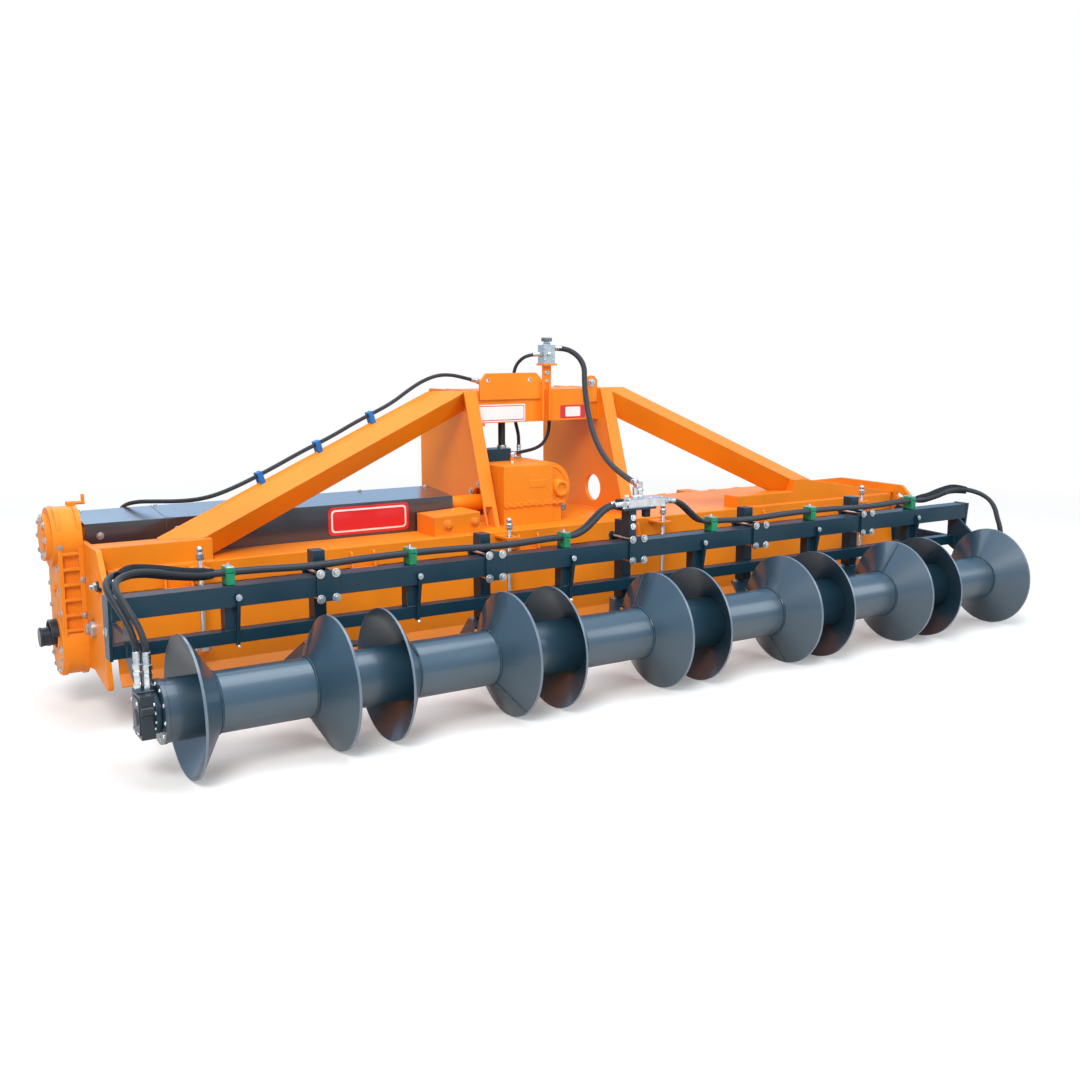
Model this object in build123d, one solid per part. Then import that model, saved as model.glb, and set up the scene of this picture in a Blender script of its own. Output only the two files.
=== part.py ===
from build123d import *
import os
from math import cos, hypot, pi, radians, sin, tan

# A six-bed rotavator with a driven bed-forming roller, on a three-point mast.
# +X is the machine's right, +Y is forward, to the tractor, and Z = 0 is the ground. All sizes in mm.
# "Ahead" is a distance forward of the roller's axis.

# ---- driving dimensions ----
bed_pitch = 750                    # distance between two beds
bed_count = 6
side_plate_t = 20
sheet_t = 8                        # hood and roller cone sheet
weld_gap = 0.3                     # clearance between faces of different pieces
run_gap = 0.05                     # radial clearance of a running pin
front_reach = 1735                 # from the roller axis to the front of the hitch

# bed roller
rim_r = 252
roller_tube_r = 109.5
roller_tube_wall = 8
cone_length = 92
rim_half_gap = 100                 # from the middle of a furrow to the rims on each side
roller_end_x = 2238
end_cone_x = 2150                  # open rims of the two outermost cones
end_flange_r = 113                 # bolted flange at each end of the roller's tube
end_flange_t = 14

# roller frame
upper_beam = 80
upper_beam_top = 594
lower_beam = 50
lower_beam_top = 420
beam_wall = 6
beam_rear = 288                    # rear face of the upper beam, ahead
lower_beam_rear = 308
frame_half = 2320
end_plate_t = 12
arm_t = 18
arm_outer_x = 2240
roller_arm_t = 15
motor_x = 5                        # from the roller's end to its arm
motor_length = 47
motor_half = 45
post_w = 50
post_d = 60
post_top = 680
scraper_t = 10
scraper_z = 300
clamp_t = 12
clamp_half_w = 45
bracket_t = 12

# tine rotor
rotor_ahead = 1050                 # rotor axis, ahead
rotor_z = 310
rotor_tube_r = 70
rotor_half = 2205
flange_r = 150                     # over the corners of the hexagonal flanges
flange_t = 12
flange_count = 18
blades_per_flange = 6
tip_r = 265
blade_t = 12
blade_w = 70
blade_foot = 85
blade_sweep = 24                   # the blade's foot is this much narrower at its end
rotor_shaft_r = 32
shaft_tube_r = 38                  # housing of the cross shaft

# hood, tailboard and side plates
hood_gap = 35                      # from the blade tips' circle to the hood's rear and top faces
hood_drop = 90
hood_bend = 160                    # where the hood starts to slope, ahead of the rotor
girder_depth = 130
girder_reach = 390                 # front face of the girder, ahead of the rotor
plate_peak = {"left": 90, "right": 50}
member_w = 110
member_h = 90
ridge_h = 128                      # the right member's height at the strut's foot
saddle = 420                       # length of the low seat under the right strut
saddle_h = 62
tailboard_half = 2205
tailboard_t = 6
tailboard_drop = 305
pivot_ahead = 820                  # roller frame's pivot, ahead
pivot_z = 373
pivot_r = 25
lock_radius = 250
lock_angle = 128                   # place of the locking bolt in its slot, from +Y
lock_r = 12
frame_up = 14                      # the roller frame's travel in degrees
frame_down = 4

# drive line
drive_z = 715
window_lead = 130                  # round window in the right mast plate, ahead of the rotor axis
input_z = 770
case_w = 95
head_w = 112                       # the case is wider at the cross shaft
case_rear_gap = 115                # from the rotor axis to the case's rear face
case_front_gap = 120
case_rim = 20                      # the end rims stand this far out of the case's body
case_corner_r = 90
head_r = 120
barrel_r = 124
drum_r = 130
drum_x = -50                       # middle of the gearbox's change-gear drum
journal_r = 25
pto_r = 22.2                       # splined end, 1 3/4 inch
pto_length = 110
pto_reach = 510                    # tip of the input shaft, ahead of the rotor
guard_r = 95
guard_t = 4
cover_end = 575
cover_t = 4
cover_h = 155

# mast and hitch
mast_half = 375                    # inner face of the mast's side plates
mast_t = 20
mast_top = 1250
mast_foot_ahead = 900
mast_head_ahead = 1120
mast_front_ahead = 1670
mast_flange_w = 70
crosshead_depth = 290
crosshead_h = 160
crosshead_wall = 12
pin_span = 965                     # lower link pins, category 3
lower_bore_r = 18.5
top_bore_r = 16
top_link_ahead = 1600
mast_height = 685
ear_t = 20
lower_ear_gap = 62
top_ear_gap = 60
ear_r = 45
strut_w = 115
strut_h = 125
strut_turn = 37                    # the strut's tube is turned this far about its own axis
strut_foot = {"left": 1800, "right": 1450}

# parking stands
stand_x = 1300
stand_tube = 60
stand_wall = 5
stand_pin_r = 12
stand_foot_t = 12

os.makedirs("parts", exist_ok=True)

# ---- places worked out from the sizes above ----
sides = (-1, 1)
names = {-1: "left", 1: "right"}
roller_y = -(front_reach - rim_r) / 2
roller_z = rim_r
rotor_y = roller_y + rotor_ahead
plate_inner = bed_pitch * bed_count / 2 - 5
plate_outer = plate_inner + side_plate_t
hood_radius = tip_r + hood_gap
hood_rear = rotor_y - hood_radius
hood_top = rotor_z + hood_radius
bed_centres = [bed_pitch * (i - (bed_count - 1) / 2) for i in range(bed_count)]
furrows = [bed_pitch * (i - bed_count / 2) for i in range(1, bed_count)]
girder_front = rotor_y + girder_reach
beam_y = roller_y + beam_rear
beam_front = beam_y + upper_beam
lower_y = roller_y + lower_beam_rear
lower_front = lower_y + lower_beam
beam_end = frame_half - end_plate_t
upper_beam_low = upper_beam_top - upper_beam
lower_beam_low = lower_beam_top - lower_beam
pivot_y = roller_y + pivot_ahead
lock_y = pivot_y + lock_radius * cos(radians(lock_angle))
lock_z = pivot_z + lock_radius * sin(radians(lock_angle))
mast_rear_foot = roller_y + mast_foot_ahead
mast_rear_top = roller_y + mast_head_ahead
mast_front = roller_y + mast_front_ahead
crosshead_low = mast_top - crosshead_h
member_rear = hood_rear + 10


def box(x0, x1, y0, y1, z0, z1):
    """A block between two corners."""
    size = Box(abs(x1 - x0), y1 - y0, z1 - z0)
    return Pos((x0 + x1) / 2, (y0 + y1) / 2, (z0 + z1) / 2) * size


def plate(points, x0, x1, corner=0):
    """A plate lying in Y-Z, cut to an outline of (y, z) points, its corners rounded."""
    outline = make_face(Polyline(*points, close=True))
    if corner:
        outline = fillet(outline.vertices(), corner)
    return extrude(Plane.YZ.offset(min(x0, x1)) * outline, amount=abs(x1 - x0))


def bar(points, y0, y1):
    """A piece with a section of (x, z) points, running along Y."""
    outline = make_face(Polyline(*points, close=True))
    return extrude(Plane.XZ.offset(-y1) * outline, amount=y1 - y0)


def round_x(radius, x0, x1, y, z):
    """A round bar or hole along X."""
    return Pos((x0 + x1) / 2, y, z) * Rot(0, 90, 0) * Cylinder(radius, abs(x1 - x0))


def round_y(radius, y0, y1, x, z):
    """A round bar or hole along Y."""
    return Pos(x, (y0 + y1) / 2, z) * Rot(90, 0, 0) * Cylinder(radius, abs(y1 - y0))


def round_z(radius, z0, z1, x, y):
    """A round bar or hole along Z."""
    return Pos(x, y, (z0 + z1) / 2) * Cylinder(radius, abs(z1 - z0))


def save(name, *solids):
    """One node: its solids in one STEP file."""
    shape = solids[0] if len(solids) == 1 else Compound(children=list(solids))
    export_step(shape, f"parts/{name}.step")


# ---- bed roller: a tube with a pair of cones at each furrow ----
tube = round_x(roller_tube_r, -roller_end_x, roller_end_x, 0, 0)
tube -= round_x(roller_tube_r - roller_tube_wall, -roller_end_x, roller_end_x, 0, 0)
for side in sides:
    tube += round_x(end_flange_r, side * roller_end_x, side * (roller_end_x - end_flange_t), 0, 0)
save("roller_tube", Pos(0, roller_y, roller_z) * tube)

cone_bore = roller_tube_r + weld_gap
slope = hypot(cone_length, rim_r - cone_bore)
rim_step = sheet_t * slope / (rim_r - cone_bore)
cone_section = make_face(
    Polyline(
        (0, rim_r),
        (rim_step, rim_r),
        (cone_length + rim_step, cone_bore),
        (cone_length, cone_bore),
        close=True,
    )
)
cone = revolve(cone_section, Axis.X, 360)
cones = []
for x in furrows:
    cones.append(Pos(x + rim_half_gap, roller_y, roller_z) * cone)
    cones.append(Pos(x - rim_half_gap, roller_y, roller_z) * Rot(0, 0, 180) * cone)
cones.append(Pos(-end_cone_x, roller_y, roller_z) * cone)
cones.append(Pos(end_cone_x, roller_y, roller_z) * Rot(0, 0, 180) * cone)
save("roller_cones", *cones)

# ---- roller frame: two square tubes between end plates, on arms from the side plates ----
upper = box(-beam_end, beam_end, beam_y, beam_front, upper_beam_low, upper_beam_top)
upper -= box(-beam_end, beam_end, beam_y + beam_wall, beam_front - beam_wall,
             upper_beam_low + beam_wall, upper_beam_top - beam_wall)
save("upper_beam", upper)
lower = box(-beam_end, beam_end, lower_y, lower_front, lower_beam_low, lower_beam_top)
lower -= box(-beam_end, beam_end, lower_y + beam_wall, lower_front - beam_wall,
             lower_beam_low + beam_wall, lower_beam_top - beam_wall)
save("lower_beam", lower)

motor_in = roller_end_x + motor_x
motor_out = motor_in + roller_arm_t
ends = []
arms = []
hangers = []
motors = []
for side in sides:
    ends.append(plate(
        [
            (beam_y - 5, upper_beam_top + 4),
            (beam_front + 5, upper_beam_top + 4),
            (beam_front + 5, lower_beam_low - 5),
            (lower_y - 5, lower_beam_low - 5),
        ],
        side * beam_end,
        side * frame_half,
    ))
    inner = side * (arm_outer_x - arm_t)
    outer = side * arm_outer_x
    arm = plate(
        [
            (lower_front, lower_beam_low),
            (lower_front, lower_beam_top),
            (lock_y - 40, lower_beam_top + 8),
            (lock_y - 26, lock_z),
            (lock_y + 26, lock_z),
            (pivot_y - 30, pivot_z + 60),
            (pivot_y + 40, pivot_z + 30),
            (pivot_y + 20, pivot_z - 45),
        ],
        inner,
        outer,
    )
    arm += round_x(2 * pivot_r, inner, outer, pivot_y, pivot_z)
    arm += round_x(lock_r + 16, inner, outer, lock_y, lock_z)
    arm -= round_x(pivot_r + run_gap, inner, outer, pivot_y, pivot_z)
    # the locking bolt goes out through the side plate's slot
    arm += round_x(lock_r, outer, side * (plate_outer + 6), lock_y, lock_z)
    arm += round_x(lock_r + 8, side * (plate_outer + 2), side * (plate_outer + 14), lock_y, lock_z)
    arms.append(arm)
    # flat arm from the two beams down and back to the motor at the roller's end
    flange_in = side * motor_in
    flange_out = side * motor_out
    hang = plate(
        [
            (beam_y - 5, upper_beam_low),
            (lower_front, upper_beam_low),
            (lower_front, lower_beam_low - 5),
            (roller_y + 60, roller_z - 60),
            (roller_y - 45, roller_z - 45),
            (roller_y - 45, roller_z + 50),
            (roller_y + 20, roller_z + 55),
        ],
        flange_in,
        flange_out,
    )
    hang += round_x(72, flange_in, flange_out, roller_y, roller_z)
    hang -= box(flange_in, flange_out, lower_y, lower_front, lower_beam_low, lower_beam_top)
    hangers.append(hang)
    # hydraulic motor: bearing housing inside the arm, body and port block outside it
    motor = round_x(60, side * (roller_end_x + weld_gap), flange_in, roller_y, roller_z)
    motors.append(motor)
    body = plate(
        [
            (roller_y - motor_half, roller_z - 78),
            (roller_y + motor_half, roller_z - 78),
            (roller_y + motor_half + 15, roller_z - 60),
            (roller_y + motor_half + 15, roller_z + 73),
            (roller_y - motor_half, roller_z + 73),
        ],
        flange_out,
        side * (motor_out + motor_length),
    )
    for x, ahead in ((2285, 46), (2259, 20)):
        body += round_z(12, roller_z + 73, 418, side * x, roller_y + ahead)
    motors.append(body)
save("frame_arms", *arms)
save("roller_arms", *hangers)
save("frame_ends", *ends)
save("roller_motors", *motors)

# posts clamped to the front of the upper beam, each with its scraper plate
posts = []
scrapers = []
clamps = []
post_front = beam_front + post_d
beam_mid = upper_beam_top - upper_beam / 2
for x in furrows:
    posts.append(box(x - post_w / 2, x + post_w / 2, beam_front, post_front, scraper_z + scraper_t, post_top))
    for y in (beam_y - clamp_t, post_front):
        clamps.append(box(x - clamp_half_w, x + clamp_half_w, y, y + clamp_t, beam_mid - 60, beam_mid + 60))
    # the plate's rear edge follows the two cones and the tube
    gap = 12
    reach = rim_half_gap + cone_length
    outline = make_face(
        Polyline(
            (-reach - 40, roller_tube_r + gap),
            (-reach - gap, roller_tube_r + gap),
            (-rim_half_gap - gap, rim_r + gap),
            (rim_half_gap + gap, rim_r + gap),
            (reach + gap, roller_tube_r + gap),
            (reach + 40, roller_tube_r + gap),
            (reach + 40, roller_tube_r + gap + 60),
            (post_w, post_front - roller_y),
            (-post_w, post_front - roller_y),
            (-reach - 40, roller_tube_r + gap + 60),
            close=True,
        )
    )
    scrapers.append(Pos(x, roller_y, scraper_z) * extrude(outline, amount=scraper_t))
save("scraper_posts", *posts)
save("scraper_plates", *scrapers)
save("clamp_plates", *clamps)

# brackets at the bed centres: a bent strap down the beams' rear faces and a spacer between them
brackets = []
for x in bed_centres:
    strap = plate(
        [
            (beam_y, upper_beam_low + 48),
            (beam_y - 14, upper_beam_low + 44),
            (beam_y - 18, upper_beam_low + 20),
            (lower_y - 14, lower_beam_top - 8),
            (lower_y - 12, lower_beam_low - 2),
            (lower_y + 12, lower_beam_low - 12),
            (lower_y + 12, lower_beam_low),
            (lower_y, lower_beam_low),
            (lower_y, upper_beam_low),
            (beam_y, upper_beam_low),
        ],
        x + 14,
        x + 14 + bracket_t,
    )
    strap += box(x - 26, x + 14, lower_y, lower_front, lower_beam_top, upper_beam_low)
    brackets.append(strap)
save("beam_brackets", *brackets)

# ---- tine rotor: hexagonal flanges on a tube, three blades to each hand ----
shaft = round_x(rotor_tube_r, -rotor_half, rotor_half, 0, 0)
flange_pitch = (2 * rotor_half - 2 * 100) / (flange_count - 1)
flange_x = [-rotor_half + 100 + i * flange_pitch for i in range(flange_count)]
blade_step = 17                    # each flange is turned on from the one before
flanges = []
for i, x in enumerate(flange_x):
    hexagon = RegularPolygon(flange_r, 6) - Circle(rotor_tube_r + weld_gap)
    hexagon = extrude(hexagon, amount=flange_t)
    hexagon = Pos(x - flange_t / 2, 0, 0) * Rot(blade_step * i, 0, 0) * Rot(0, 90, 0) * hexagon
    flanges.append(Pos(0, rotor_y, rotor_z) * hexagon)
shaft += round_x(rotor_shaft_r, -plate_outer - 20, plate_outer + 20, 0, 0)
save("rotor_shaft", Pos(0, rotor_y, rotor_z) * shaft)
save("rotor_flanges", *flanges)

# L-shaped blade: a flat shank, a knee and a foot that narrows to its end
blade_section = make_face(
    Polyline(
        (0, 82),
        (blade_t, 82),
        (blade_t, tip_r - 30),
        (blade_t + 18, tip_r - blade_t),
        (blade_foot, tip_r - blade_t),
        (blade_foot, tip_r),
        (22, tip_r),
        (0, tip_r - 26),
        close=True,
    )
)
blade = extrude(Plane.XZ.offset(-blade_w / 2) * blade_section, amount=blade_w)
sweep_line = [(blade_t + 18, blade_w / 2), (blade_foot + 1, blade_w / 2), (blade_foot + 1, blade_w / 2 - blade_sweep)]
blade -= Pos(0, 0, 82) * extrude(make_face(Polyline(*sweep_line, close=True)), amount=tip_r)
blades = []
for i, x in enumerate(flange_x):
    for k in range(blades_per_flange):
        angle = 360 / blades_per_flange * k + blade_step * i
        hand = 1 if k % 2 else -1
        if i == 0:
            hand = 1
        if i == flange_count - 1:
            hand = -1
        one = blade if hand > 0 else mirror(blade, Plane.YZ)
        blades.append(Pos(x + hand * flange_t / 2, rotor_y, rotor_z) * Rot(angle, 0, 0) * one)
save("rotor_blades", *blades)

# ---- hood: one sheet folded over the rotor ----
hood_line = Polyline(
    (hood_rear + sheet_t / 2, hood_top - hood_drop),
    (hood_rear + sheet_t / 2, hood_top - sheet_t / 2),
    (rotor_y + hood_bend, hood_top - sheet_t / 2),
    (rotor_y + 315, rotor_z + 205),
    (rotor_y + 355, rotor_z + 70),
)
hood_section = make_face(offset(hood_line, amount=sheet_t / 2).edges())
hood = extrude(Plane.YZ.offset(-plate_inner) * hood_section, amount=2 * plate_inner)
for side in sides:
    # relief for the roller frame's arm
    hood -= box(side * (arm_outer_x - arm_t - 6), side * plate_inner, hood_rear - 1, hood_rear + 15,
                hood_top - hood_drop - 5, hood_top)
save("hood", hood)

side_plates = []
pins = []
for side in sides:
    x0 = side * plate_inner
    x1 = side * plate_outer
    peak = hood_top + plate_peak[names[side]]
    skirt = plate(
        [
            (roller_y + 616, 155),
            (rotor_y - 190, 195),
            (rotor_y + 130, 150),
            (rotor_y + 330, 210),
            (rotor_y + 420, 340),
            (rotor_y + 420, hood_top),
            (rotor_y + 130, peak),
            (hood_rear - 50, peak),
            (hood_rear - 145, hood_top - 30),
            (hood_rear - 102, 290),
        ],
        x0,
        x1,
        corner=24,
    )
    skirt -= round_x(rotor_shaft_r + 6, x0, x1, rotor_y, rotor_z)
    skirt -= round_x(pivot_r + run_gap, x0, x1, pivot_y, pivot_z)
    # arc slot that the locking bolt travels in
    slot_arc = CenterArc((pivot_y, pivot_z), lock_radius, lock_angle - frame_up - 1, frame_up + frame_down + 2)
    slot = SlotArc(slot_arc, 2 * lock_r + 3)
    skirt -= extrude(Plane.YZ.offset(min(x0, x1)) * slot, amount=side_plate_t)
    if side < 0:
        skirt -= round_x(shaft_tube_r + weld_gap, x0, x1, rotor_y, drive_z)
    side_plates.append(skirt)
    pin = round_x(pivot_r, side * (plate_outer + 8), side * (arm_outer_x - arm_t - 10), pivot_y, pivot_z)
    pin += round_x(pivot_r + 12, side * (plate_outer + weld_gap), side * (plate_outer + 14), pivot_y, pivot_z)
    pins.append(pin)
save("side_plates", *side_plates)
save("pivot_pins", *pins)

# front girder: a folded plate that closes the hood's front slope into a box
girder = plate(
    [
        (rotor_y + hood_bend, hood_top),
        (girder_front, hood_top),
        (girder_front, hood_top - girder_depth),
        (rotor_y + 325, hood_top - girder_depth),
        (rotor_y + 315, rotor_z + 205),
    ],
    -plate_inner,
    plate_inner,
)
girder -= hood
save("front_girder", girder)

# members along the hood's rear top edge, from the struts' feet out to the side plates
foot_right = strut_foot["right"]
members = {}
members[-1] = box(-plate_inner, -strut_foot["left"], member_rear, member_rear + member_w,
                  hood_top, hood_top + member_h)
members[1] = bar(
    [
        (foot_right - saddle, hood_top),
        (plate_inner, hood_top),
        (plate_inner, hood_top + 8),
        (foot_right + 60, hood_top + ridge_h),
        (foot_right - 10, hood_top + ridge_h),
        (foot_right - 10, hood_top + saddle_h),
        (foot_right - saddle, hood_top + saddle_h),
    ],
    member_rear,
    member_rear + member_w,
)
# box at the left mast's foot, behind the inner end of the cover
foot_box = bar(
    [(-770, hood_top), (-mast_half - 160, hood_top), (-mast_half - 160, hood_top + 98), (-770, hood_top + 88)],
    member_rear + 30,
    rotor_y - 75,
)
foot_box += round_y(22, member_rear + 22, member_rear + 30, -705, hood_top + 48)
foot_box += round_y(18, member_rear + 22, member_rear + 30, -565, hood_top + 52)
save("hood_members", members[-1], members[1], foot_box)

# ---- tailboard on its hinges ----
hinge_y = hood_rear - 14
hinge_z = hood_top - hood_drop - 14
knuckle_r = 14
hinge_pin_r = 8
knuckle_w = 90
hinge_x = (-1950, -1150, -300, 300, 1150, 1950)
board_y = hinge_y - 30
board_z = hinge_z - tailboard_drop
half_t = tailboard_t / 2
board = plate(
    [
        (hinge_y - half_t, hinge_z - 10),
        (hinge_y + half_t, hinge_z - 10),
        (board_y + half_t, board_z),
        (board_y - 37, board_z - 42),
        (board_y - 42, board_z - 38),
        (board_y - half_t, board_z + 3),
    ],
    -tailboard_half,
    tailboard_half,
)
lugs = []
for x in hinge_x:
    half = knuckle_w / 2
    board -= box(x - half - 16, x + half + 16, hinge_y - 20, hinge_y + 20, hinge_z - 12, hinge_z + 20)
    board += plate(
        [(hinge_y - 14, hinge_z), (hinge_y + 8, hinge_z), (hinge_y, hinge_z - 30), (hinge_y - 10, hinge_z - 30)],
        x - half,
        x + half,
    )
    board += round_x(knuckle_r, x - half, x + half, hinge_y, hinge_z)
    board -= round_x(hinge_pin_r + run_gap, x - half, x + half, hinge_y, hinge_z)
    lug = round_x(hinge_pin_r, x - half - 14, x + half + 14, hinge_y, hinge_z)
    for side in sides:
        inner = x + side * (half + 3)
        lug += plate(
            [
                (hood_rear, hinge_z + 30),
                (hood_rear, hood_top - 20),
                (hood_rear - 12, hood_top - 30),
                (hinge_y - 12, hinge_z + 4),
                (hinge_y - 8, hinge_z - 10),
                (hinge_y + 8, hinge_z - 10),
                (hinge_y + 13, hinge_z),
            ],
            inner,
            inner + side * 9,
        )
    lugs.append(lug)
save("tailboard_hinges", *lugs)

# adjuster rods: pinned between lugs on the board, free in the hood's slotted guides
rod_x = (-1880, -450, 450, 1880)
rod_y = hinge_y - 66
rod_r = 10
rod_low = hinge_z - 235
rod_top = hood_top + 70
rods = []
guides = []
for x in rod_x:
    for side in sides:
        board += plate(
            [
                (hinge_y - 20, rod_low + 30),
                (rod_y - 15, rod_low + 15),
                (rod_y - 15, rod_low - 15),
                (hinge_y - 26, rod_low - 30),
            ],
            x + side * 14,
            x + side * 22,
        )
    rods.append(round_z(rod_r, rod_low, rod_top, x, rod_y) + round_x(14, x - 13.7, x + 13.7, rod_y, rod_low))
    guide = box(x - 32, x + 32, rod_y - 34, hood_rear, hood_top - 20, hood_top - 10)
    guide -= box(x - 15, x + 15, rod_y - 18, rod_y + 34, hood_top - 20, hood_top - 10)
    guides.append(guide)
save("tailboard", board)
save("tailboard_rods", *rods)
save("rod_guides", *guides)

# ---- mast: two side plates with a leaning rear flange each ----
masts = {}
for side in sides:
    x0 = side * mast_half
    x1 = side * (mast_half + mast_t)
    upright = plate(
        [
            (mast_rear_foot, hood_top),
            (mast_rear_top, mast_top),
            (mast_front - 110, mast_top),
            (mast_front, mast_top - 120),
            (mast_front, hood_top + 90),
            (mast_front - 80, hood_top - girder_depth),
            (girder_front, hood_top - girder_depth),
            (girder_front, hood_top),
        ],
        x0,
        x1,
    )
    if side < 0:
        upright -= round_x(70, x0, x1, rotor_y, drive_z)
    else:
        upright -= round_x(70, x0, x1, rotor_y + window_lead, drive_z + 8)
    flange = plate(
        [
            (mast_rear_foot, hood_top),
            (mast_rear_top, mast_top),
            (mast_rear_top - 12, mast_top),
            (mast_rear_foot - 12, hood_top),
        ],
        side * (mast_half - 5),
        side * (mast_half - 5 + mast_flange_w),
    )
    # pocket at the flange's foot
    flange -= box(side * (mast_half + mast_t), side * (mast_half + mast_t + 38), mast_rear_foot - 20,
                  mast_rear_top, hood_top, hood_top + 96)
    masts[side] = upright + flange
    save(f"mast_{names[side]}", masts[side])

# crosshead: a channel between the side plates, with a raised rear plate, ribs and an ear
head_rear = mast_rear_top + 10
head_front = head_rear + crosshead_depth
crosshead = box(-mast_half, mast_half, head_rear, head_front, crosshead_low, mast_top)
crosshead -= box(-mast_half, mast_half, head_rear + crosshead_wall, head_front - crosshead_wall,
                 crosshead_low, mast_top - crosshead_wall)
raised = bar(
    [
        (-345, mast_top - 45),
        (-345, mast_top + 45),
        (-310, mast_top + 85),
        (-20, mast_top + 85),
        (20, mast_top + 45),
        (20, mast_top - 45),
    ],
    head_rear - crosshead_wall,
    head_rear,
)
for x in (-300, -60):
    raised -= round_y(8, head_rear - crosshead_wall, head_rear, x, mast_top + 50)
crosshead += raised
ear = box(285, 357, head_rear - crosshead_wall, head_rear, mast_top - 70, mast_top + 30)
ear += round_y(36, head_rear - crosshead_wall, head_rear, 321, mast_top + 30)
crosshead += ear
for x in (12, 52):
    crosshead += box(x - 5, x + 5, head_rear - 30, head_rear, crosshead_low + 5, mast_top + 40)
crosshead += round_z(18, crosshead_low - 14, crosshead_low, -325, head_rear + crosshead_wall / 2 + 6)
save("crosshead", crosshead)

top_z = mast_top - 20
low_z = top_z - mast_height
link_y = roller_y + top_link_ahead
bracket = box(-top_ear_gap / 2 - 40, top_ear_gap / 2 + 40, head_front, head_front + 10, mast_top - 155, mast_top)
for side in sides:
    x0 = side * top_ear_gap / 2
    x1 = side * (top_ear_gap / 2 + ear_t)
    bracket += plate(
        [
            (head_front + 10, mast_top - 150),
            (head_front + 10, mast_top),
            (link_y, top_z + 45),
            (link_y + 40, top_z + 10),
            (link_y + 40, top_z - 25),
        ],
        x0,
        x1,
    )
    bracket += round_x(ear_r, x0, x1, link_y, top_z)
    bracket -= round_x(top_bore_r, x0, x1, link_y, top_z)
save("top_link_bracket", bracket)

hitch_y = roller_y + front_reach - ear_r
lugs = []
for side in sides:
    x = side * pin_span / 2
    half = lower_ear_gap / 2
    lug = box(x - half, x + half, girder_front, girder_front + 12, hood_top - girder_depth, hood_top)
    for ear_side in sides:
        a = x + ear_side * half
        b = a + ear_side * ear_t
        lug += plate(
            [
                (girder_front, hood_top - girder_depth),
                (girder_front, hood_top),
                (hitch_y, low_z + ear_r),
                (hitch_y, low_z - ear_r),
            ],
            a,
            b,
        )
        lug += round_x(ear_r, a, b, hitch_y, low_z)
        lug -= round_x(lower_bore_r, a, b, hitch_y, low_z)
    lugs.append(lug)
save("hitch_lugs", *lugs)

# ---- struts: rectangular tube set on its corner, from the mast's rear flange to the hood ----
strut_frames = {}
strut_rise = {-1: 62, 1: 78}       # middle of the strut above the hood, at its foot


def strut_body(side, gap):
    """The strut's tube before it is trimmed, with a clearance all round."""
    section = Rot(0, 0, strut_turn * side) * Rectangle(strut_w + 2 * gap, strut_h + 2 * gap)
    return extrude(strut_frames[side] * (Pos(84, 0) * section), amount=strut_length + 250)


struts = []
for side in sides:
    a = Vector(side * (mast_half + 20), mast_rear_top + 5, mast_top - 8)
    foot = strut_foot[names[side]]
    b = Vector(side * (foot + 60), hood_rear + 22, hood_top + strut_rise[side])
    strut_frames[side] = Plane(origin=a, x_dir=Vector(0, 1, 0), z_dir=(b - a).normalized())
    strut_length = (b - a).length
    keep = box(side * (mast_half + mast_t), side * (foot + 200), hood_rear - 60, mast_front, hood_top, mast_top)
    strut = (strut_body(side, 0) & keep) - members[side] - masts[side]
    struts.append(max(strut.solids(), key=lambda piece: piece.volume))
save("struts", *struts)

# ---- gearbox and drive line ----
box_top = input_z + 125
gear_rear = rotor_y - 150
gearbox = box(-mast_half + 35, -60, gear_rear, rotor_y + 230, hood_top, box_top)
gearbox += round_y(drum_r, rotor_y - 90, rotor_y + 240, drum_x, input_z)
gearbox += round_y(drum_r - 20, rotor_y + 200, rotor_y + 280, 0, input_z)
gearbox += box(-mast_half + 40, drum_x + 45, gear_rear + 10, rotor_y + 230, hood_top, input_z)
# split flange of the sump, boss at the rear, bearing cover in front
gearbox += box(-mast_half + 35, drum_x + 62, gear_rear - 6, rotor_y + 236, hood_top + 88, hood_top + 104)
gearbox += round_y(60, rotor_y - 100, rotor_y - 90, drum_x, input_z)
gearbox += round_y(32, rotor_y - 112, rotor_y - 100, drum_x, input_z)
gearbox += round_y(60, rotor_y + 280, rotor_y + 310, 0, input_z)
gearbox -= round_y(journal_r + run_gap, rotor_y + 230, rotor_y + 310, 0, input_z)
# breather and the union of the thin hose
gearbox += round_z(10, box_top, box_top + 42, -215, rotor_y - 20)
gearbox += round_z(12, input_z + 120, input_z + 162, -50, roller_y + 1240)
save("gearbox", gearbox)
save("cross_shaft_tube", round_x(shaft_tube_r, -mast_half + 35, -plate_outer, rotor_y, drive_z))

pto_tip = rotor_y + pto_reach
pto = round_y(journal_r, rotor_y + 240, pto_tip - pto_length, 0, input_z)
pto += round_y(pto_r, pto_tip - pto_length, pto_tip, 0, input_z)
save("pto_shaft", pto)
guard_y = rotor_y + 280
guard = round_y(guard_r, guard_y, guard_y + 190, 0, input_z)
guard -= round_y(guard_r - guard_t, guard_y + 5, guard_y + 190, 0, input_z)
guard -= round_y(60 + weld_gap, guard_y, guard_y + 5, 0, input_z)
save("pto_guard", guard)

# block on the gearbox's top and the pipe up to it from the crosshead
block_y = roller_y + 1150
pipe_x = -175
save("oil_block", box(-310, -150, block_y, block_y + 100, box_top, box_top + 62))
save("oil_pipe", round_z(18, box_top + 62, mast_top - crosshead_wall, pipe_x, block_y + 50))

# side drive case: a cast box with end rims and ribs across its rear face
case_in = -plate_outer
case_out = case_in - case_w
case_top = drive_z + head_r
case_bottom = rotor_z - 162
case_y0 = rotor_y - case_rear_gap
case_y1 = rotor_y + case_front_gap


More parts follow.
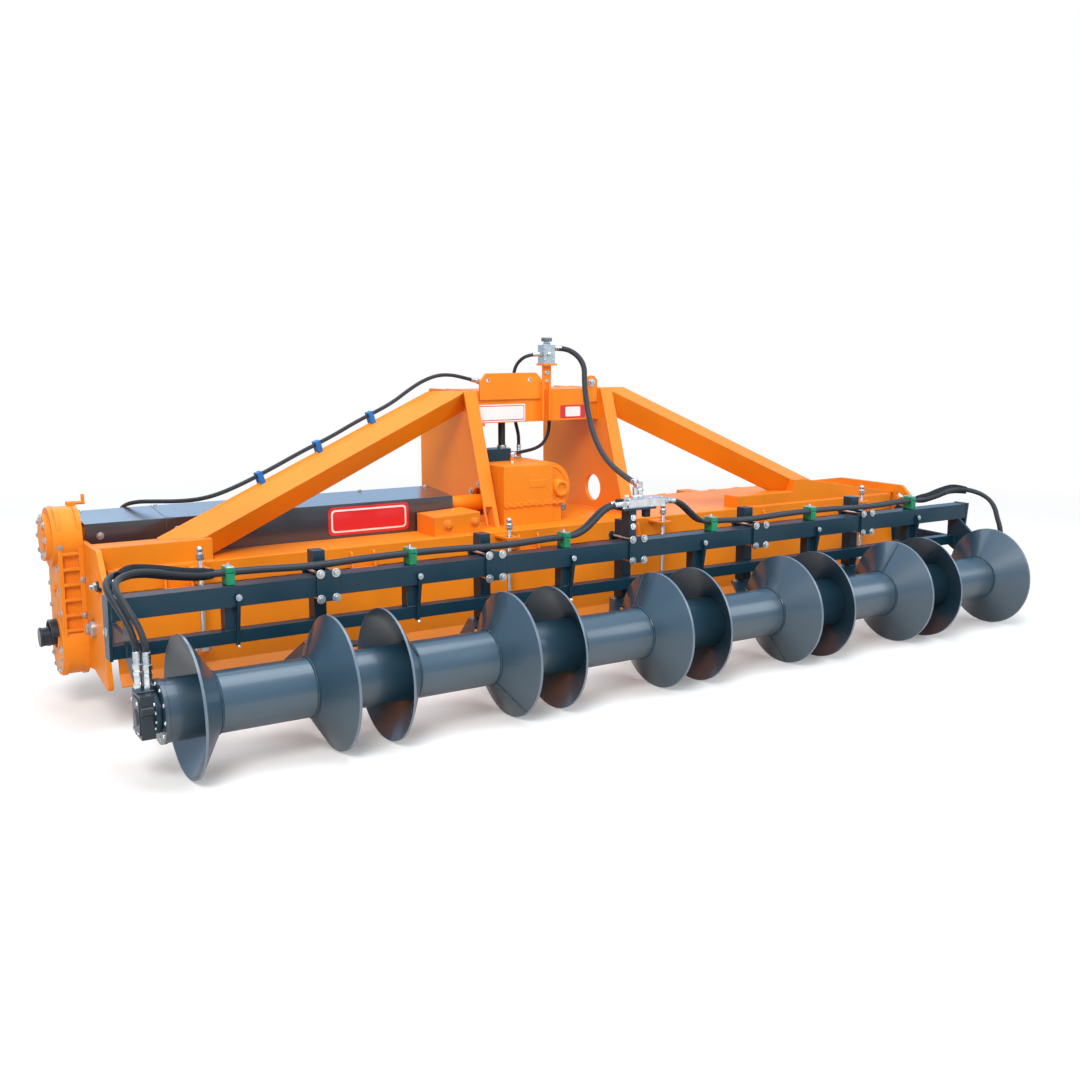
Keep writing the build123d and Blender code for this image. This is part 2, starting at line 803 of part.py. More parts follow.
def case_plate(inset, x0, x1):
    """The case's rounded outline, inset all round."""
    width = case_y1 - case_y0 - 2 * inset
    height = case_top - case_bottom - 2 * inset
    outline = Pos((case_y0 + case_y1) / 2, (case_top + case_bottom) / 2)
    outline = outline * RectangleRounded(width, height, case_corner_r - inset)
    return extrude(Plane.YZ.offset(min(x0, x1)) * outline, amount=abs(x1 - x0))


case = case_plate(case_rim, case_in, case_out)
case += case_plate(0, case_in, case_in - 18)
case += case_plate(0, case_out + 16, case_out)
for i in range(7):
    z = rotor_z - 30 + 62 * i
    case += box(case_out, case_in, case_y0, case_y0 + 30, z, z + 12)
# head round the cross shaft, with its cover, and the barrel round the rotor's gear
case += round_x(head_r, case_in, case_in - head_w, rotor_y, drive_z)
case += round_x(head_r - 25, case_in - head_w, case_in - head_w - 20, rotor_y, drive_z)
case += round_x(barrel_r, case_in, case_out - 6, rotor_y, case_bottom + barrel_r)
case -= round_x(rotor_shaft_r + 6, case_in, case_in - 30, rotor_y, rotor_z)
save("drive_case", case)
# lifting hook: a bent bar from the head, over the cover
hook_y = rotor_y + 20
hook = round_x(7, case_in + 4, case_in + 42, hook_y, case_top + 8)
hook += round_z(7, case_top + 8, case_top + 42, case_in + 35, hook_y)
hook += box(case_in - 30, case_in + 6, hook_y - 14, hook_y + 14, case_top + weld_gap, case_top + 15)

# hub cap at the rotor's axis, under a bent strip
cap_r = 38
hub = round_x(cap_r, case_out - 6, case_out - 74, rotor_y, rotor_z)
strip = round_x(cap_r + 30, case_out - 6, case_out - 36, rotor_y, rotor_z)
strip -= round_x(cap_r + 24, case_out - 6, case_out - 36, rotor_y, rotor_z)
strip -= box(case_out - 37, case_out - 5, rotor_y - 100, rotor_y + 100, rotor_z - 100, rotor_z + 10)
save("hub_cap", hub, strip)
save("lifting_hook", hook)
bearing = round_x(80, plate_outer, plate_outer + 60, rotor_y, rotor_z)
bearing -= round_x(rotor_shaft_r + run_gap, plate_outer, plate_outer + 30, rotor_y, rotor_z)
bearing += round_x(38, plate_outer + 60, plate_outer + 140, rotor_y, rotor_z)
save("rotor_bearing", bearing)

# folded cover over the cross shaft
cover_rear = rotor_y - 65
cover_front = rotor_y + 190
cover_low = hood_top + cover_h
cover = plate(
    [
        (cover_rear, hood_top),
        (cover_rear, cover_low),
        (cover_front, cover_low + 22),
        (cover_front, cover_low - 70),
        (cover_front - cover_t, cover_low - 70),
        (cover_front - cover_t, cover_low + 17),
        (cover_rear + cover_t, cover_low - cover_t),
        (cover_rear + cover_t, hood_top),
    ],
    -plate_inner,
    -cover_end,
)
save("drive_cover", cover - strut_body(-1, 12))

# ---- parking stands that fold up sideways against the girder ----
stand_y = girder_front + 70
stand_z = hood_top - 80
brackets = []
for side in sides:
    x = side * stand_x
    bracket = box(x - 45, x + 45, girder_front, girder_front + 12, hood_top - 125, hood_top)
    bracket += box(x - 45, x + 45, girder_front, stand_y + 45, hood_top - 12, hood_top)
    bracket += box(x - 45, x + 45, stand_y + 33, stand_y + 45, hood_top - 125, hood_top)
    bracket += round_y(stand_pin_r, girder_front, stand_y + 50, x, stand_z)
    brackets.append(bracket)
    half = stand_tube / 2
    bore = half - stand_wall
    leg = box(x - half, x + half, stand_y - half, stand_y + half, stand_foot_t, stand_z + half)
    leg -= box(x - bore, x + bore, stand_y - bore, stand_y + bore, stand_foot_t, stand_z + half)
    leg += box(x - 70, x + 70, stand_y - 50, stand_y + 70, 0, stand_foot_t)
    for face in sides:
        leg += round_y(20, stand_y + face * bore, stand_y + face * (half + 1), x, stand_z)
    leg -= round_y(stand_pin_r + run_gap, stand_y - half - 2, stand_y + half + 2, x, stand_z)
    save(f"stand_leg_{names[side]}", leg)
save("stand_brackets", *brackets)

# ---- hydraulics: control valve on the crosshead, tee on the roller frame, hoses ----
valve_x = 103
valve_y = roller_y + 1200
valve_low = mast_top + 118
post = box(valve_x - 32, valve_x + 16, valve_y - 6, valve_y + 6, mast_top, valve_low)
save("valve_post", post + box(valve_x - 48, valve_x + 34, valve_y - 35, valve_y + 35, valve_low, valve_low + 10))
valve = box(valve_x - 43, valve_x + 25, valve_y - 28, valve_y + 28, valve_low + 10, valve_low + 104)
valve += round_z(16, valve_low + 104, valve_low + 122, valve_x - 8, valve_y)
valve += round_z(27, valve_low + 122, valve_low + 142, valve_x - 8, valve_y)

tee_z = 745
tee_mid = roller_y + 328
bracket = box(-36, 0, beam_y + 8, beam_front - 8, upper_beam_top, tee_z - 10)
bracket += box(-77, 105, beam_y - 4, beam_front + 4, tee_z - 10, tee_z)
save("tee_bracket", bracket)
tee = box(-45, 165, tee_mid - 34, tee_mid + 34, tee_z, tee_z + 36)

hose_d = 23
thin_d = 18
# one side's hoses along the upper beam, over its end and down to the motor: (x, ahead, z)
beam_runs = {
    "a": [
        (700, 342, 628), (950, 342, 640), (1300, 342, 640), (1550, 342, 628), (1780, 342, 640),
        (1970, 342, 640), (2080, 341, 655), (2160, 339, 674), (2235, 331, 680), (2289, 305, 678),
        (2325, 260, 669), (2339, 207, 651), (2333, 155, 625), (2317, 113, 588), (2299, 84, 544),
        (2289, 57, 502), (2285, 46, 460), (2285, 46, 418),
    ],
    "b": [
        (700, 312, 628), (950, 312, 640), (1300, 312, 640), (1550, 312, 628), (1780, 312, 640),
        (1970, 312, 640), (2070, 311, 655), (2145, 307, 674), (2212, 301, 681), (2260, 275, 679),
        (2297, 233, 669), (2313, 181, 651), (2307, 129, 625), (2291, 87, 588), (2273, 58, 544),
        (2263, 31, 502), (2259, 20, 460), (2259, 20, 418),
    ],
}
# from the tee's end down to the first clamp: (x, z)
tee_runs = {
    -1: [(70, 763), (126, 760), (172, 738), (214, 704), (268, 661), (330, 640), (455, 640)],
    1: [(190, 763), (246, 758), (292, 733), (333, 698), (380, 660), (428, 640), (540, 640)],
}
clamp_x = (-1875, -1125, -375, 470, 1125, 1875)
routes = {}
for side in sides:
    for row, run in beam_runs.items():
        points = [(side * x, run[0][1], z) for x, z in tee_runs[side]]
        points += [(side * x, ahead, z) for x, ahead, z in run]
        routes[f"hose_beam_{names[side]}_{row}"] = (hose_d, points)
routes["hose_tee"] = (hose_d, [
    (138, 1199, 1455), (181, 1170, 1455), (217, 1137, 1436), (240, 1103, 1401), (245, 1074, 1355),
    (230, 1053, 1301), (217, 1027, 1243), (203, 993, 1183), (186, 948, 1120), (165, 888, 1055),
    (144, 817, 996), (123, 734, 945), (104, 644, 906), (87, 544, 877), (70, 453, 857), (52, 368, 842),
])
routes["hose_strut"] = (thin_d, [
    (-330, 1180, 1297), (-392, 1180, 1312), (-468, 1178, 1329), (-550, 1172, 1329), (-635, 1163, 1303),
    (-715, 1151, 1262), (-790, 1134, 1218), (-870, 1112, 1182), (-1020, 1076, 1127), (-1160, 1043, 1065),
    (-1310, 1007, 1011), (-1460, 971, 949), (-1600, 937, 896), (-1720, 912, 858), (-1800, 938, 838),
    (-1870, 1008, 828), (-1930, 1098, 822), (-1985, 1190, 815), (-2025, 1268, 795), (-2045, 1315, 745),
    (-2050, 1330, 680), (-2050, 1330, 642),
])
routes["hose_valve"] = (thin_d, [
    (50, 1205, 1425), (8, 1214, 1423), (-28, 1236, 1407), (-50, 1262, 1372), (-56, 1278, 1328), (-56, 1278, 1288),
])
routes["hose_gearbox"] = (thin_d, [
    (110, 1200, 1195), (110, 1200, 1132), (113, 1200, 1070), (104, 1200, 1012), (72, 1200, 965),
    (22, 1200, 943), (-35, 1200, 934), (-88, 1200, 927), (-128, 1200, 927),
])
routes["hose_breather"] = (thin_d, [
    (-80, 1240, 1195), (-80, 1240, 1132), (-66, 1240, 1072), (-51, 1240, 1018), (-50, 1240, 972),
    (-50, 1240, 932),
])


def place(point):
    """A route's (x, ahead, z) point in the part's frame."""
    x, ahead, z = point
    return Vector(x, roller_y + ahead, z)


def stub(point, toward, radius, length):
    """A round fitting that meets a hose's end and points away from the hose."""
    end = place(point)
    away = (end - place(toward)).normalized()
    return extrude(Plane(origin=end, z_dir=away) * Circle(radius), amount=length)


def block_on(run, width, low, high, length, hose_r):
    """A clamp block round the straight middle of a hose's run, with its bore."""
    a, b = place(run[0]), place(run[1])
    middle = (a + b) * 0.5
    across = Vector(0, 0, 1).cross(b - a).normalized()
    frame = Plane(origin=middle - (b - a).normalized() * (length / 2), x_dir=across, z_dir=b - a)
    outline = Pos(0, (high + low) / 2) * Rectangle(width, high - low)
    return extrude(frame * (outline - Circle(hose_r + weld_gap)), amount=length)


for name, (diameter, points) in routes.items():
    spots = [place(p) for p in points]
    runs = [spots[i + 1] - spots[i] for i in range(len(spots) - 1)]
    radii = []
    for i in range(len(runs) - 1):
        turn = radians(runs[i].get_angle(runs[i + 1]))
        radii.append(0.45 * min(runs[i].length, runs[i + 1].length) / tan(turn / 2))
    route = FilletPolyline(*spots, radius=radii)
    start = Plane(origin=spots[0], z_dir=runs[0])
    hose = sweep(start * Circle(diameter / 2), path=route)
    section = pi * diameter**2 / 4
    print(f"{name}: {route.length:.0f} long, tightest {min(radii):.0f}, volume {hose.volume / section / route.length:.4f}")
    save(name, hose)

for side in sides:
    for row in beam_runs:
        points = routes[f"hose_beam_{names[side]}_{row}"][1]
        tee += stub(points[0], points[1], 13, 25)
tee_end = routes["hose_tee"][1]
tee += stub(tee_end[-1], tee_end[-2], 13, 34)
tee += round_z(13, tee_z + 36, tee_end[-1][2] + 13, tee_end[-1][0], tee_mid + 14)
tee += round_z(12, tee_z + 36, tee_z + 88, 18, tee_mid + 4)
save("tee_block", tee)

valve_out = routes["hose_tee"][1]
valve += stub(valve_out[0], valve_out[1], 13, 20)
valve_in = routes["hose_valve"][1]
valve += stub(valve_in[0], valve_in[1], 11, 20)
save("valve", valve)

# unions on the crosshead, the girder and the oil block
strut_start = routes["hose_strut"][1][0]
strut_next = routes["hose_strut"][1][1]
union = round_z(12, mast_top, strut_start[2] + 2, -296, roller_y + strut_start[1])
union += stub(strut_start, strut_next, 11, 36)
fittings = [union]
strut_stop = routes["hose_strut"][1][-1]
fittings.append(round_z(12, hood_top, strut_stop[2], strut_stop[0], roller_y + strut_stop[1]))
valve_stop = routes["hose_valve"][1][-1]
fittings.append(round_z(12, mast_top, valve_stop[2], valve_stop[0], roller_y + valve_stop[1]))
for name in ("hose_gearbox", "hose_breather"):
    top = routes[name][1][0]
    fittings.append(round_z(12, top[2], mast_top - crosshead_wall, top[0], roller_y + top[1]))
low = routes["hose_gearbox"][1]
fittings.append(stub(low[-1], low[-2], 12, 22))
save("hose_fittings", *fittings)

# clamps on the upper beam round each pair of hoses
clamps = []
for x in clamp_x:
    block = box(x - 22, x + 22, roller_y + 294, roller_y + 360, upper_beam_top, 662)
    for row in beam_runs:
        block -= round_x(hose_d / 2 + weld_gap, x - 22, x + 22, roller_y + beam_runs[row][0][1], 640)
    clamps.append(block)
save("hose_clamps", *clamps)

# clips round the thin hose, each notched over the strut's ridge
clips = []
for i in (7, 9, 11):
    run = routes["hose_strut"][1][i:i + 2]
    clips.append(block_on(run, 30, -40, 15, 26, thin_d / 2) - strut_body(-1, weld_gap))
save("hose_clips", *clips)
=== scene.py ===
from math import atan2, cos, pi, radians, sin, sqrt

import bmesh
import bpy
from mathutils import Matrix, Vector


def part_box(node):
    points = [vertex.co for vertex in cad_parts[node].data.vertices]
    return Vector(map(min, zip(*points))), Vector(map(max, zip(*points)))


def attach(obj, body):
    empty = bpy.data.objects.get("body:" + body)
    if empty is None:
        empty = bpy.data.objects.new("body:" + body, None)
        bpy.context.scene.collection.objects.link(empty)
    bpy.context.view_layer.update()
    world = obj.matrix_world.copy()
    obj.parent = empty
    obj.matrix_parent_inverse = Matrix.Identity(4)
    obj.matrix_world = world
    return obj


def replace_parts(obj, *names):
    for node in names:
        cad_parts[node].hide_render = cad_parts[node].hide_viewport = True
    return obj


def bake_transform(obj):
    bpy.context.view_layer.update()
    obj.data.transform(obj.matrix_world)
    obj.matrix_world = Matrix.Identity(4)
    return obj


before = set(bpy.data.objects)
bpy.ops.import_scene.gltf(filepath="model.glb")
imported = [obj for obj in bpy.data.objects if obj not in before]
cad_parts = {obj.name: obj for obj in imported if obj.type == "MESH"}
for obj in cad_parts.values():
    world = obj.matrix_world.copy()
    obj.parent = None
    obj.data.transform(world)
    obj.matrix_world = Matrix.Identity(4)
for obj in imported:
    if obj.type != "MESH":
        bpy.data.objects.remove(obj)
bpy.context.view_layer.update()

# Camera: someone standing behind the machine's left end, with the eyes at 1.5 m, looking along the roller
# to the mast. A plain lens, no tilt to the side.
def shown(name, data):
    """A new object that is linked into the scene."""
    made = bpy.data.objects.new(name, data)
    bpy.context.scene.collection.objects.link(made)
    return made


camera = shown("camera", bpy.data.cameras.new("camera"))
camera.data.sensor_width = 36
camera.data.lens = 38.83
camera.data.clip_end = 100
camera.location = (-3.176, -4.633, 1.482)
camera.rotation_euler = (radians(90 - 9.6), 0, radians(-32.4))
bpy.context.scene.camera = camera


# The shader tools come with the first surface, the studio's floor: a socket that can be reckoned with, a tree
# of nodes, and a finish that adds nodes behind one shader.
class Signal:
    """A shader socket. Adding, taking away, multiplying or dividing it adds a Math node."""

    def __init__(self, tree, socket):
        self.tree = tree
        self.socket = socket

    def reckon(self, operation, first, second):
        return self.tree.node("Math", {"operation": operation}, {0: first, 1: second})

    def through(self, operation, second=0.0):
        """This socket put through any other Math operation."""
        return self.reckon(operation, self, second)

    def __add__(self, other):
        return self.reckon("ADD", self, other)

    def __radd__(self, other):
        return self.reckon("ADD", other, self)

    def __sub__(self, other):
        return self.reckon("SUBTRACT", self, other)

    def __rsub__(self, other):
        return self.reckon("SUBTRACT", other, self)

    def __mul__(self, other):
        return self.reckon("MULTIPLY", self, other)

    def __truediv__(self, other):
        return self.reckon("DIVIDE", self, other)


class Tree:
    """A tree of shader nodes."""

    def __init__(self, tree):
        self.tree = tree

    def node(self, kind, settings={}, sockets={}, out=0):
        made = self.tree.nodes.new("ShaderNode" + kind)
        for name, value in settings.items():
            setattr(made, name, value)
        for name, value in sockets.items():
            self.join(value, made.inputs[name])
        return Signal(self, made.outputs[out])

    def join(self, value, socket):
        if isinstance(value, Signal):
            self.tree.links.new(value.socket, socket)
        else:
            socket.default_value = value

    def mix(self, share, first, second):
        """The first colour, with the second one laid over it where share is 1."""
        return self.node("Mix", {"data_type": "RGBA"}, {0: share, 6: first, 7: second}, out=2)


class Finish(Tree):
    """A material with one shader, and the ways to add nodes behind its sockets."""

    def __init__(self, name, **sockets):
        self.material = bpy.data.materials.new(name)
        self.material.use_nodes = True
        super().__init__(self.material.node_tree)
        self.shader = self.tree.nodes["Principled BSDF"]
        self.place = self.node("TexCoord", out="Object")
        for name, value in sockets.items():
            self.feed(name.replace("_", " "), value)

    def feed(self, name, value):
        self.join(value, self.shader.inputs[name])

    def dress(self, colour, roughness, normal):
        self.feed("Base Color", colour)
        self.feed("Roughness", roughness)
        self.feed("Normal", normal)

    def cloud(self, scale, detail=2.0, stretch=None):
        """Noise from 0 to 1, about 0.5, with a given number of lumps to the metre."""
        place = self.place
        if stretch:
            place = self.node("Mapping", {}, {"Vector": self.place, "Scale": stretch})
        return self.node("TexNoise", {}, {"Vector": place, "Scale": scale, "Detail": detail})

    def wrap(self, way):
        """How far along a tube, with way 0, or round it, with way 1."""
        return self.node("SeparateXYZ", {}, {0: self.node("TexCoord", out="UV")}, out=way)

    def reach(self, axis):
        """The distance from an axis along X through a point."""
        across = self.node("VectorMath", {"operation": "SUBTRACT"}, {0: self.place, 1: (0, axis.y, axis.z)})
        across = self.node("VectorMath", {"operation": "MULTIPLY"}, {0: across, 1: (0, 1, 1)})
        return self.node("VectorMath", {"operation": "LENGTH"}, {0: across}, out="Value")

    def ease(self, value, low, high):
        """0 below low, 1 above high, smooth between them."""
        sockets = {"Value": value, "From Min": low, "From Max": high}
        return self.node("MapRange", {"interpolation_type": "SMOOTHSTEP"}, sockets)

    def bump(self, height, depth, under=None):
        """A normal from a height in parts of depth, in metres."""
        sockets = {"Height": height, "Distance": depth, "Strength": 1.0}
        if under:
            sockets["Normal"] = under
        return self.node("Bump", {}, sockets)


def tint(red, green, blue):
    """A colour as it is read off a colour card, 0 to 255, as light."""
    card = [value / 255 for value in (red, green, blue)]
    return (*[(c / 12.92 if c < 0.04 else ((c + 0.055) / 1.055) ** 2.4) for c in card], 1.0)


# Studio: a white floor that keeps the machine's soft shadow and turns to plain white far out, white walls
# that only the eye, glass and polished metal see, sky blue in what shines, and four large soft lamps, the
# high ones as cool as daylight.
world = bpy.data.worlds.new("studio")
bpy.context.scene.world = world
world.use_nodes = True
sky = Tree(world.node_tree)
rays = [sky.node("LightPath", out=f"Is {ray} Ray") for ray in ("Camera", "Transmission", "Glossy")]
seen, through, shining = rays
walls = seen.through("MAXIMUM", through).through("MAXIMUM", shining)
strength = sky.node("MapRange", {}, {"Value": walls, "To Min": 0.5, "To Max": 1.0})
sky.join(sky.mix(shining, (1, 1, 1, 1), (0.58, 0.82, 1.15, 1)), sky.tree.nodes["Background"].inputs["Color"])
sky.join(strength, sky.tree.nodes["Background"].inputs["Strength"])

studio = bmesh.new()
bmesh.ops.create_grid(studio, x_segments=1, y_segments=1, size=30)
floor = shown("floor", bpy.data.meshes.new("floor"))
studio.to_mesh(floor.data)
studio.free()
white = Finish("studio_white", Base_Color=(0.8, 0.8, 0.8, 1), Roughness=0.9, Specular_IOR_Level=0.1)
eye = white.node("LightPath", out="Is Camera Ray")
away = white.node("VectorMath", {"operation": "LENGTH"}, {0: white.place}, out="Value")
far = white.ease(away, 3.2, 8.5) * eye
glow = white.node("Emission", {}, {"Color": (1, 1, 1, 1), "Strength": eye * 0.2})
plain = white.node("Emission", {}, {"Color": (1, 1, 1, 1), "Strength": 1.0})
both = white.node("AddShader", {}, {0: Signal(white, white.shader.outputs[0]), 1: glow})
last = white.node("MixShader", {}, {0: far, 1: both, 2: plain})
white.join(last, white.tree.nodes["Material Output"].inputs["Surface"])
floor.data.materials.append(white.material)

for name, place, aim, size, power, hue in (
    ("key_lamp", (-5.0, -5.5, 6.5), (0, 0, 0.4), 3.5, 500, (1, 0.98, 0.95)),
    ("fill_lamp", (5.5, -5.0, 4.5), (0.5, 0, 0.4), 5.0, 190, (0.9, 0.96, 1)),
    ("sky_lamp", (0.0, -0.6, 7.0), (0, 0, 0), 6.0, 290, (0.84, 0.92, 1)),
    ("back_lamp", (-1.0, 6.5, 6.0), (0, 0, 0.6), 5.0, 130, (0.84, 0.92, 1)),
):
    lamp = shown(name, bpy.data.lights.new(name, "AREA"))
    lamp.data.shape = "DISK"
    lamp.data.size = size
    lamp.data.energy = power
    lamp.data.color = hue
    lamp.location = place
    lamp.rotation_euler = (Vector(aim) - Vector(place)).to_track_quat("-Z", "Y").to_euler()


# Hydraulic hoses: black rubber over wire braid, 23 mm on the frame and 18 mm on the mast. The long ones wear
# a spiral guard against chafing, and each end is crimped into a plated ferrule with a hexagon nut.
def rubber(name, turns, bare=0.0):
    """Black hose. turns is how often the spiral guard goes round it, from the share bare of its length on."""
    finish = Finish(name, Specular_IOR_Level=0.4, Sheen_Weight=0.15)
    along, round_it = finish.wrap(0), finish.wrap(1)
    mottle = finish.cloud(90, 3)
    if turns:
        lap = (along * turns + round_it).through("FRACT")
        rise = finish.ease(lap, 0.02, 0.22)
        fall = finish.ease(lap, 0.98, 0.72)
        worn = finish.ease(along, bare - 0.001, bare + 0.001)
        band = rise * fall * worn + (1.0 - worn) * 0.6
        finish.dress(
            finish.mix(band, tint(10, 11, 13), tint(36, 39, 44)),
            0.6 - band * 0.2 + mottle * 0.1, finish.bump(band + mottle * 0.12, 0.003),
        )
    else:
        ribs = (round_it * 150.8).through("SINE")
        dust = finish.ease(mottle, 0.4, 0.8)
        finish.dress(
            finish.mix(dust, tint(26, 27, 30), tint(44, 46, 50)),
            0.42 + mottle * 0.2, finish.bump(ribs * 0.5 + mottle, 0.0006),
        )
    return finish


def behind(x, ahead, z):
    """A point given by its distance ahead of the roller's axle."""
    return (x, axle.y + ahead, z)


def hose(name, line, thick, body):
    """A hose along control points of (x, distance ahead of the roller's axle, z) on one smooth curve."""
    curve = bpy.data.curves.new(name, "CURVE")
    curve.dimensions = "3D"
    spline = curve.splines.new("NURBS")
    spline.points.add(len(line) - 1)
    for point, spot in zip(spline.points, line):
        point.co = (*behind(*spot), 1)
        point.radius = thick / 2
    spline.order_u = 3
    spline.use_endpoint_u = True
    spline.resolution_u = 7
    curve.use_fill_caps = True
    curve.bevel_depth = 1
    curve.bevel_resolution = 3
    made = shown(name, curve)
    if body:
        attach(made, body)
    return made


def at(*point):
    """A place that is only shifted."""
    return Matrix.Translation(point)


def facing(point, way):
    """A place whose own Z points along way."""
    return at(*point) @ Vector(way).to_track_quat("Z", "Y").to_matrix().to_4x4()


def corners(node):
    """A CAD node's lowest and highest corner."""
    return [Vector(corner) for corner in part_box(node)]


UP, DOWN = (0, 0, 1), (0, 0, -1)
LEFT, RIGHT = (-1, 0, 0), (1, 0, 0)
REAR, FRONT = (0, -1, 0), (0, 1, 0)


class Piece:
    """A mesh that is added to shape by shape, then finished and hung on a body."""

    def __init__(self, name):
        self.name = name
        self.mesh = bmesh.new()

    def add(self, shape, place):
        bmesh.ops.remove_doubles(shape, verts=shape.verts, dist=1e-6)
        bmesh.ops.recalc_face_normals(shape, faces=shape.faces)
        shape.transform(place)
        held = bpy.data.meshes.new("held")
        shape.to_mesh(held)
        shape.free()
        self.mesh.from_mesh(held)
        bpy.data.meshes.remove(held)

    def turned(self, outline, place, steps=24):
        """An outline of (radius, height) points, turned about the place's own Z."""
        shape = bmesh.new()
        points = [shape.verts.new((radius, 0, height)) for radius, height in outline]
        edges = [shape.edges.new(pair) for pair in zip(points, points[1:])]
        turn = {"cent": (0, 0, 0), "axis": UP, "dvec": (0, 0, 0), "angle": 2 * pi, "steps": steps}
        bmesh.ops.spin(shape, geom=points + edges, use_merge=True, **turn)
        self.add(shape, place)

    def bevel(self, shape, edges, offset, segments=1):
        how = {"affect": "EDGES", "segments": segments, "profile": 0.5, "material": -1}
        bmesh.ops.bevel(shape, geom=edges, offset=offset, offset_type="OFFSET", **how)

    def block(self, size, place, soften=0.001, corners=None):
        """A block about the place, with softened edges, or only its four upright corners rounded."""
        shape = bmesh.new()
        bmesh.ops.create_cube(shape, size=1)
        bmesh.ops.scale(shape, vec=size, verts=shape.verts)
        edges = shape.edges[:]
        if corners:
            edges = [e for e in edges if abs(e.verts[0].co.z - e.verts[1].co.z) > size[2] / 2]
        self.bevel(shape, edges, corners or soften, 4 if corners else 1)
        self.add(shape, place)

    def hexagon(self, flats, height, place, hole=0.0):
        """A nut or bolt head that stands on the place, with its top corners cut."""
        shape = bmesh.new()
        wide = flats / sqrt(3)
        size = {"segments": 6, "radius1": wide, "radius2": wide, "depth": height}
        bmesh.ops.create_cone(shape, cap_ends=True, **size)
        rim_highlight = [e for e in shape.edges if e.verts[0].co.z > 0 and e.verts[1].co.z > 0]
        self.bevel(shape, rim_highlight, flats * 0.07)
        self.add(shape, place @ at(0, 0, height / 2))

    def bolt(self, point, way, flats=0.018, washer=True, end=0.0):
        """A hexagon head or nut with its washer, and with a thread's end past it if end is given."""
        place = facing(point, way)
        if washer:
            ring = flats * 0.95
            outline = ((0.0005, 0), (ring, 0), (ring, 0.002), (ring - 0.0008, 0.0028), (0.0005, 0.0028))
            self.turned(outline, place, 16)
            place = place @ at(0, 0, 0.0026)
        self.hexagon(flats, flats * 0.42, place)
        if end:
            tip = flats * 0.3
            place = place @ at(0, 0, flats * 0.42 - 0.001)
            outline = ((0.0004, 0), (tip, 0), (tip, end), (tip - 0.001, end + 0.001), (0.0004, end + 0.001))
            self.turned(outline, place, 12)

    def done(self, body, finish, slot):
        data = bpy.data.meshes.new(self.name)
        self.mesh.to_mesh(data)
        self.mesh.free()
        data.polygons.foreach_set("use_smooth", [True] * len(data.polygons))
        data.set_sharp_from_angle(angle=radians(35))
        data.materials.append(finish.material)
        made = shown(self.name, data)
        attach(made, body)
        return made


def shaded(colour, share):
    """The colour with its light cut to a share."""
    return [c * share for c in colour[:3]] + [1]


def plated(name, colour, rough, thread=0.0):
    """Zinc or nickel plate: bright, faintly cloudy, with fine turning marks. thread is a thread's pitch."""
    finish = Finish(name, Metallic=1.0)
    haze = finish.cloud(25, 3)
    fine = finish.cloud(900, 2, (1, 1, 6))
    finish.feed("Base Color", finish.mix(finish.ease(haze, 0.35, 0.7), colour, shaded(colour, 0.82)))
    finish.feed("Roughness", rough + haze * 0.12)
    height = fine * 0.3
    if thread:
        high = finish.node("SeparateXYZ", {}, {0: finish.place}, out=2) / thread
        height = height + high.through("PINGPONG", 1.0)
    finish.feed("Normal", finish.bump(height, 0.0008 if thread else 0.0002))
    return finish


zinc = plated("zinc_plate", tint(206, 205, 200), 0.26)
nickel = plated("nickel_plate", tint(226, 226, 224), 0.14)
low, high = corners("roller_tube")
axle = (low + high) / 2

# Points along the upper beam, over its end and down to the motor. Row a is the front hose. Row b lies beside
# it on the beam, turns down sooner, and ends on the motor's inner union.
row_a = (
    (0.700, 0.342, 0.628), (0.950, 0.342, 0.640), (1.300, 0.342, 0.640), (1.550, 0.342, 0.628),
    (1.780, 0.342, 0.640), (1.970, 0.342, 0.640), (2.080, 0.341, 0.655), (2.160, 0.339, 0.674),
    (2.235, 0.331, 0.680), (2.289, 0.305, 0.678), (2.325, 0.260, 0.669), (2.339, 0.207, 0.651),
    (2.333, 0.155, 0.625), (2.317, 0.113, 0.588), (2.299, 0.084, 0.544), (2.289, 0.057, 0.502),
    (2.285, 0.046, 0.460), (2.285, 0.046, 0.418),
)
row_b = [(x, 0.312, z) for x, ahead, z in row_a[:6]]
row_b += [(2.070, 0.311, 0.655), (2.145, 0.307, 0.674), (2.212, 0.301, 0.681), (2.260, 0.275, 0.679)]
row_b += [(2.297, 0.233, 0.669)] + [(x - 0.026, ahead - 0.026, z) for x, ahead, z in row_a[11:]]
# from the tee's end down to the first clamp on the beam, as (x, z)
tee_lines = {
    "left": ((0.070, 0.763), (0.126, 0.760), (0.172, 0.738), (0.214, 0.704), (0.268, 0.661), (0.330, 0.640),
             (0.455, 0.640)),
    "right": ((0.190, 0.763), (0.246, 0.758), (0.292, 0.733), (0.333, 0.698), (0.380, 0.660), (0.428, 0.640),
              (0.540, 0.640)),
}
ferrule = (
    (0.0098, -0.002), (0.0132, -0.002), (0.0132, 0.004), (0.0118, 0.006), (0.0118, 0.009), (0.0142, 0.0105),
    (0.0142, 0.016), (0.0136, 0.017), (0.0136, 0.021), (0.0142, 0.022), (0.0142, 0.028), (0.0136, 0.029),
    (0.0136, 0.033), (0.0142, 0.034), (0.0142, 0.040), (0.0128, 0.042), (0.0116, 0.042),
)


def crimped(piece, line, scale=1.0):
    """The ferrule and nut on a hose's first end, where its line starts."""
    start, then = [Vector(behind(*point)) for point in line[:2]]
    place = facing(start, then - start) @ Matrix.Scale(scale, 4)
    piece.turned(ferrule, place)
    piece.hexagon(0.030, 0.017, place @ at(0, 0, -0.019))


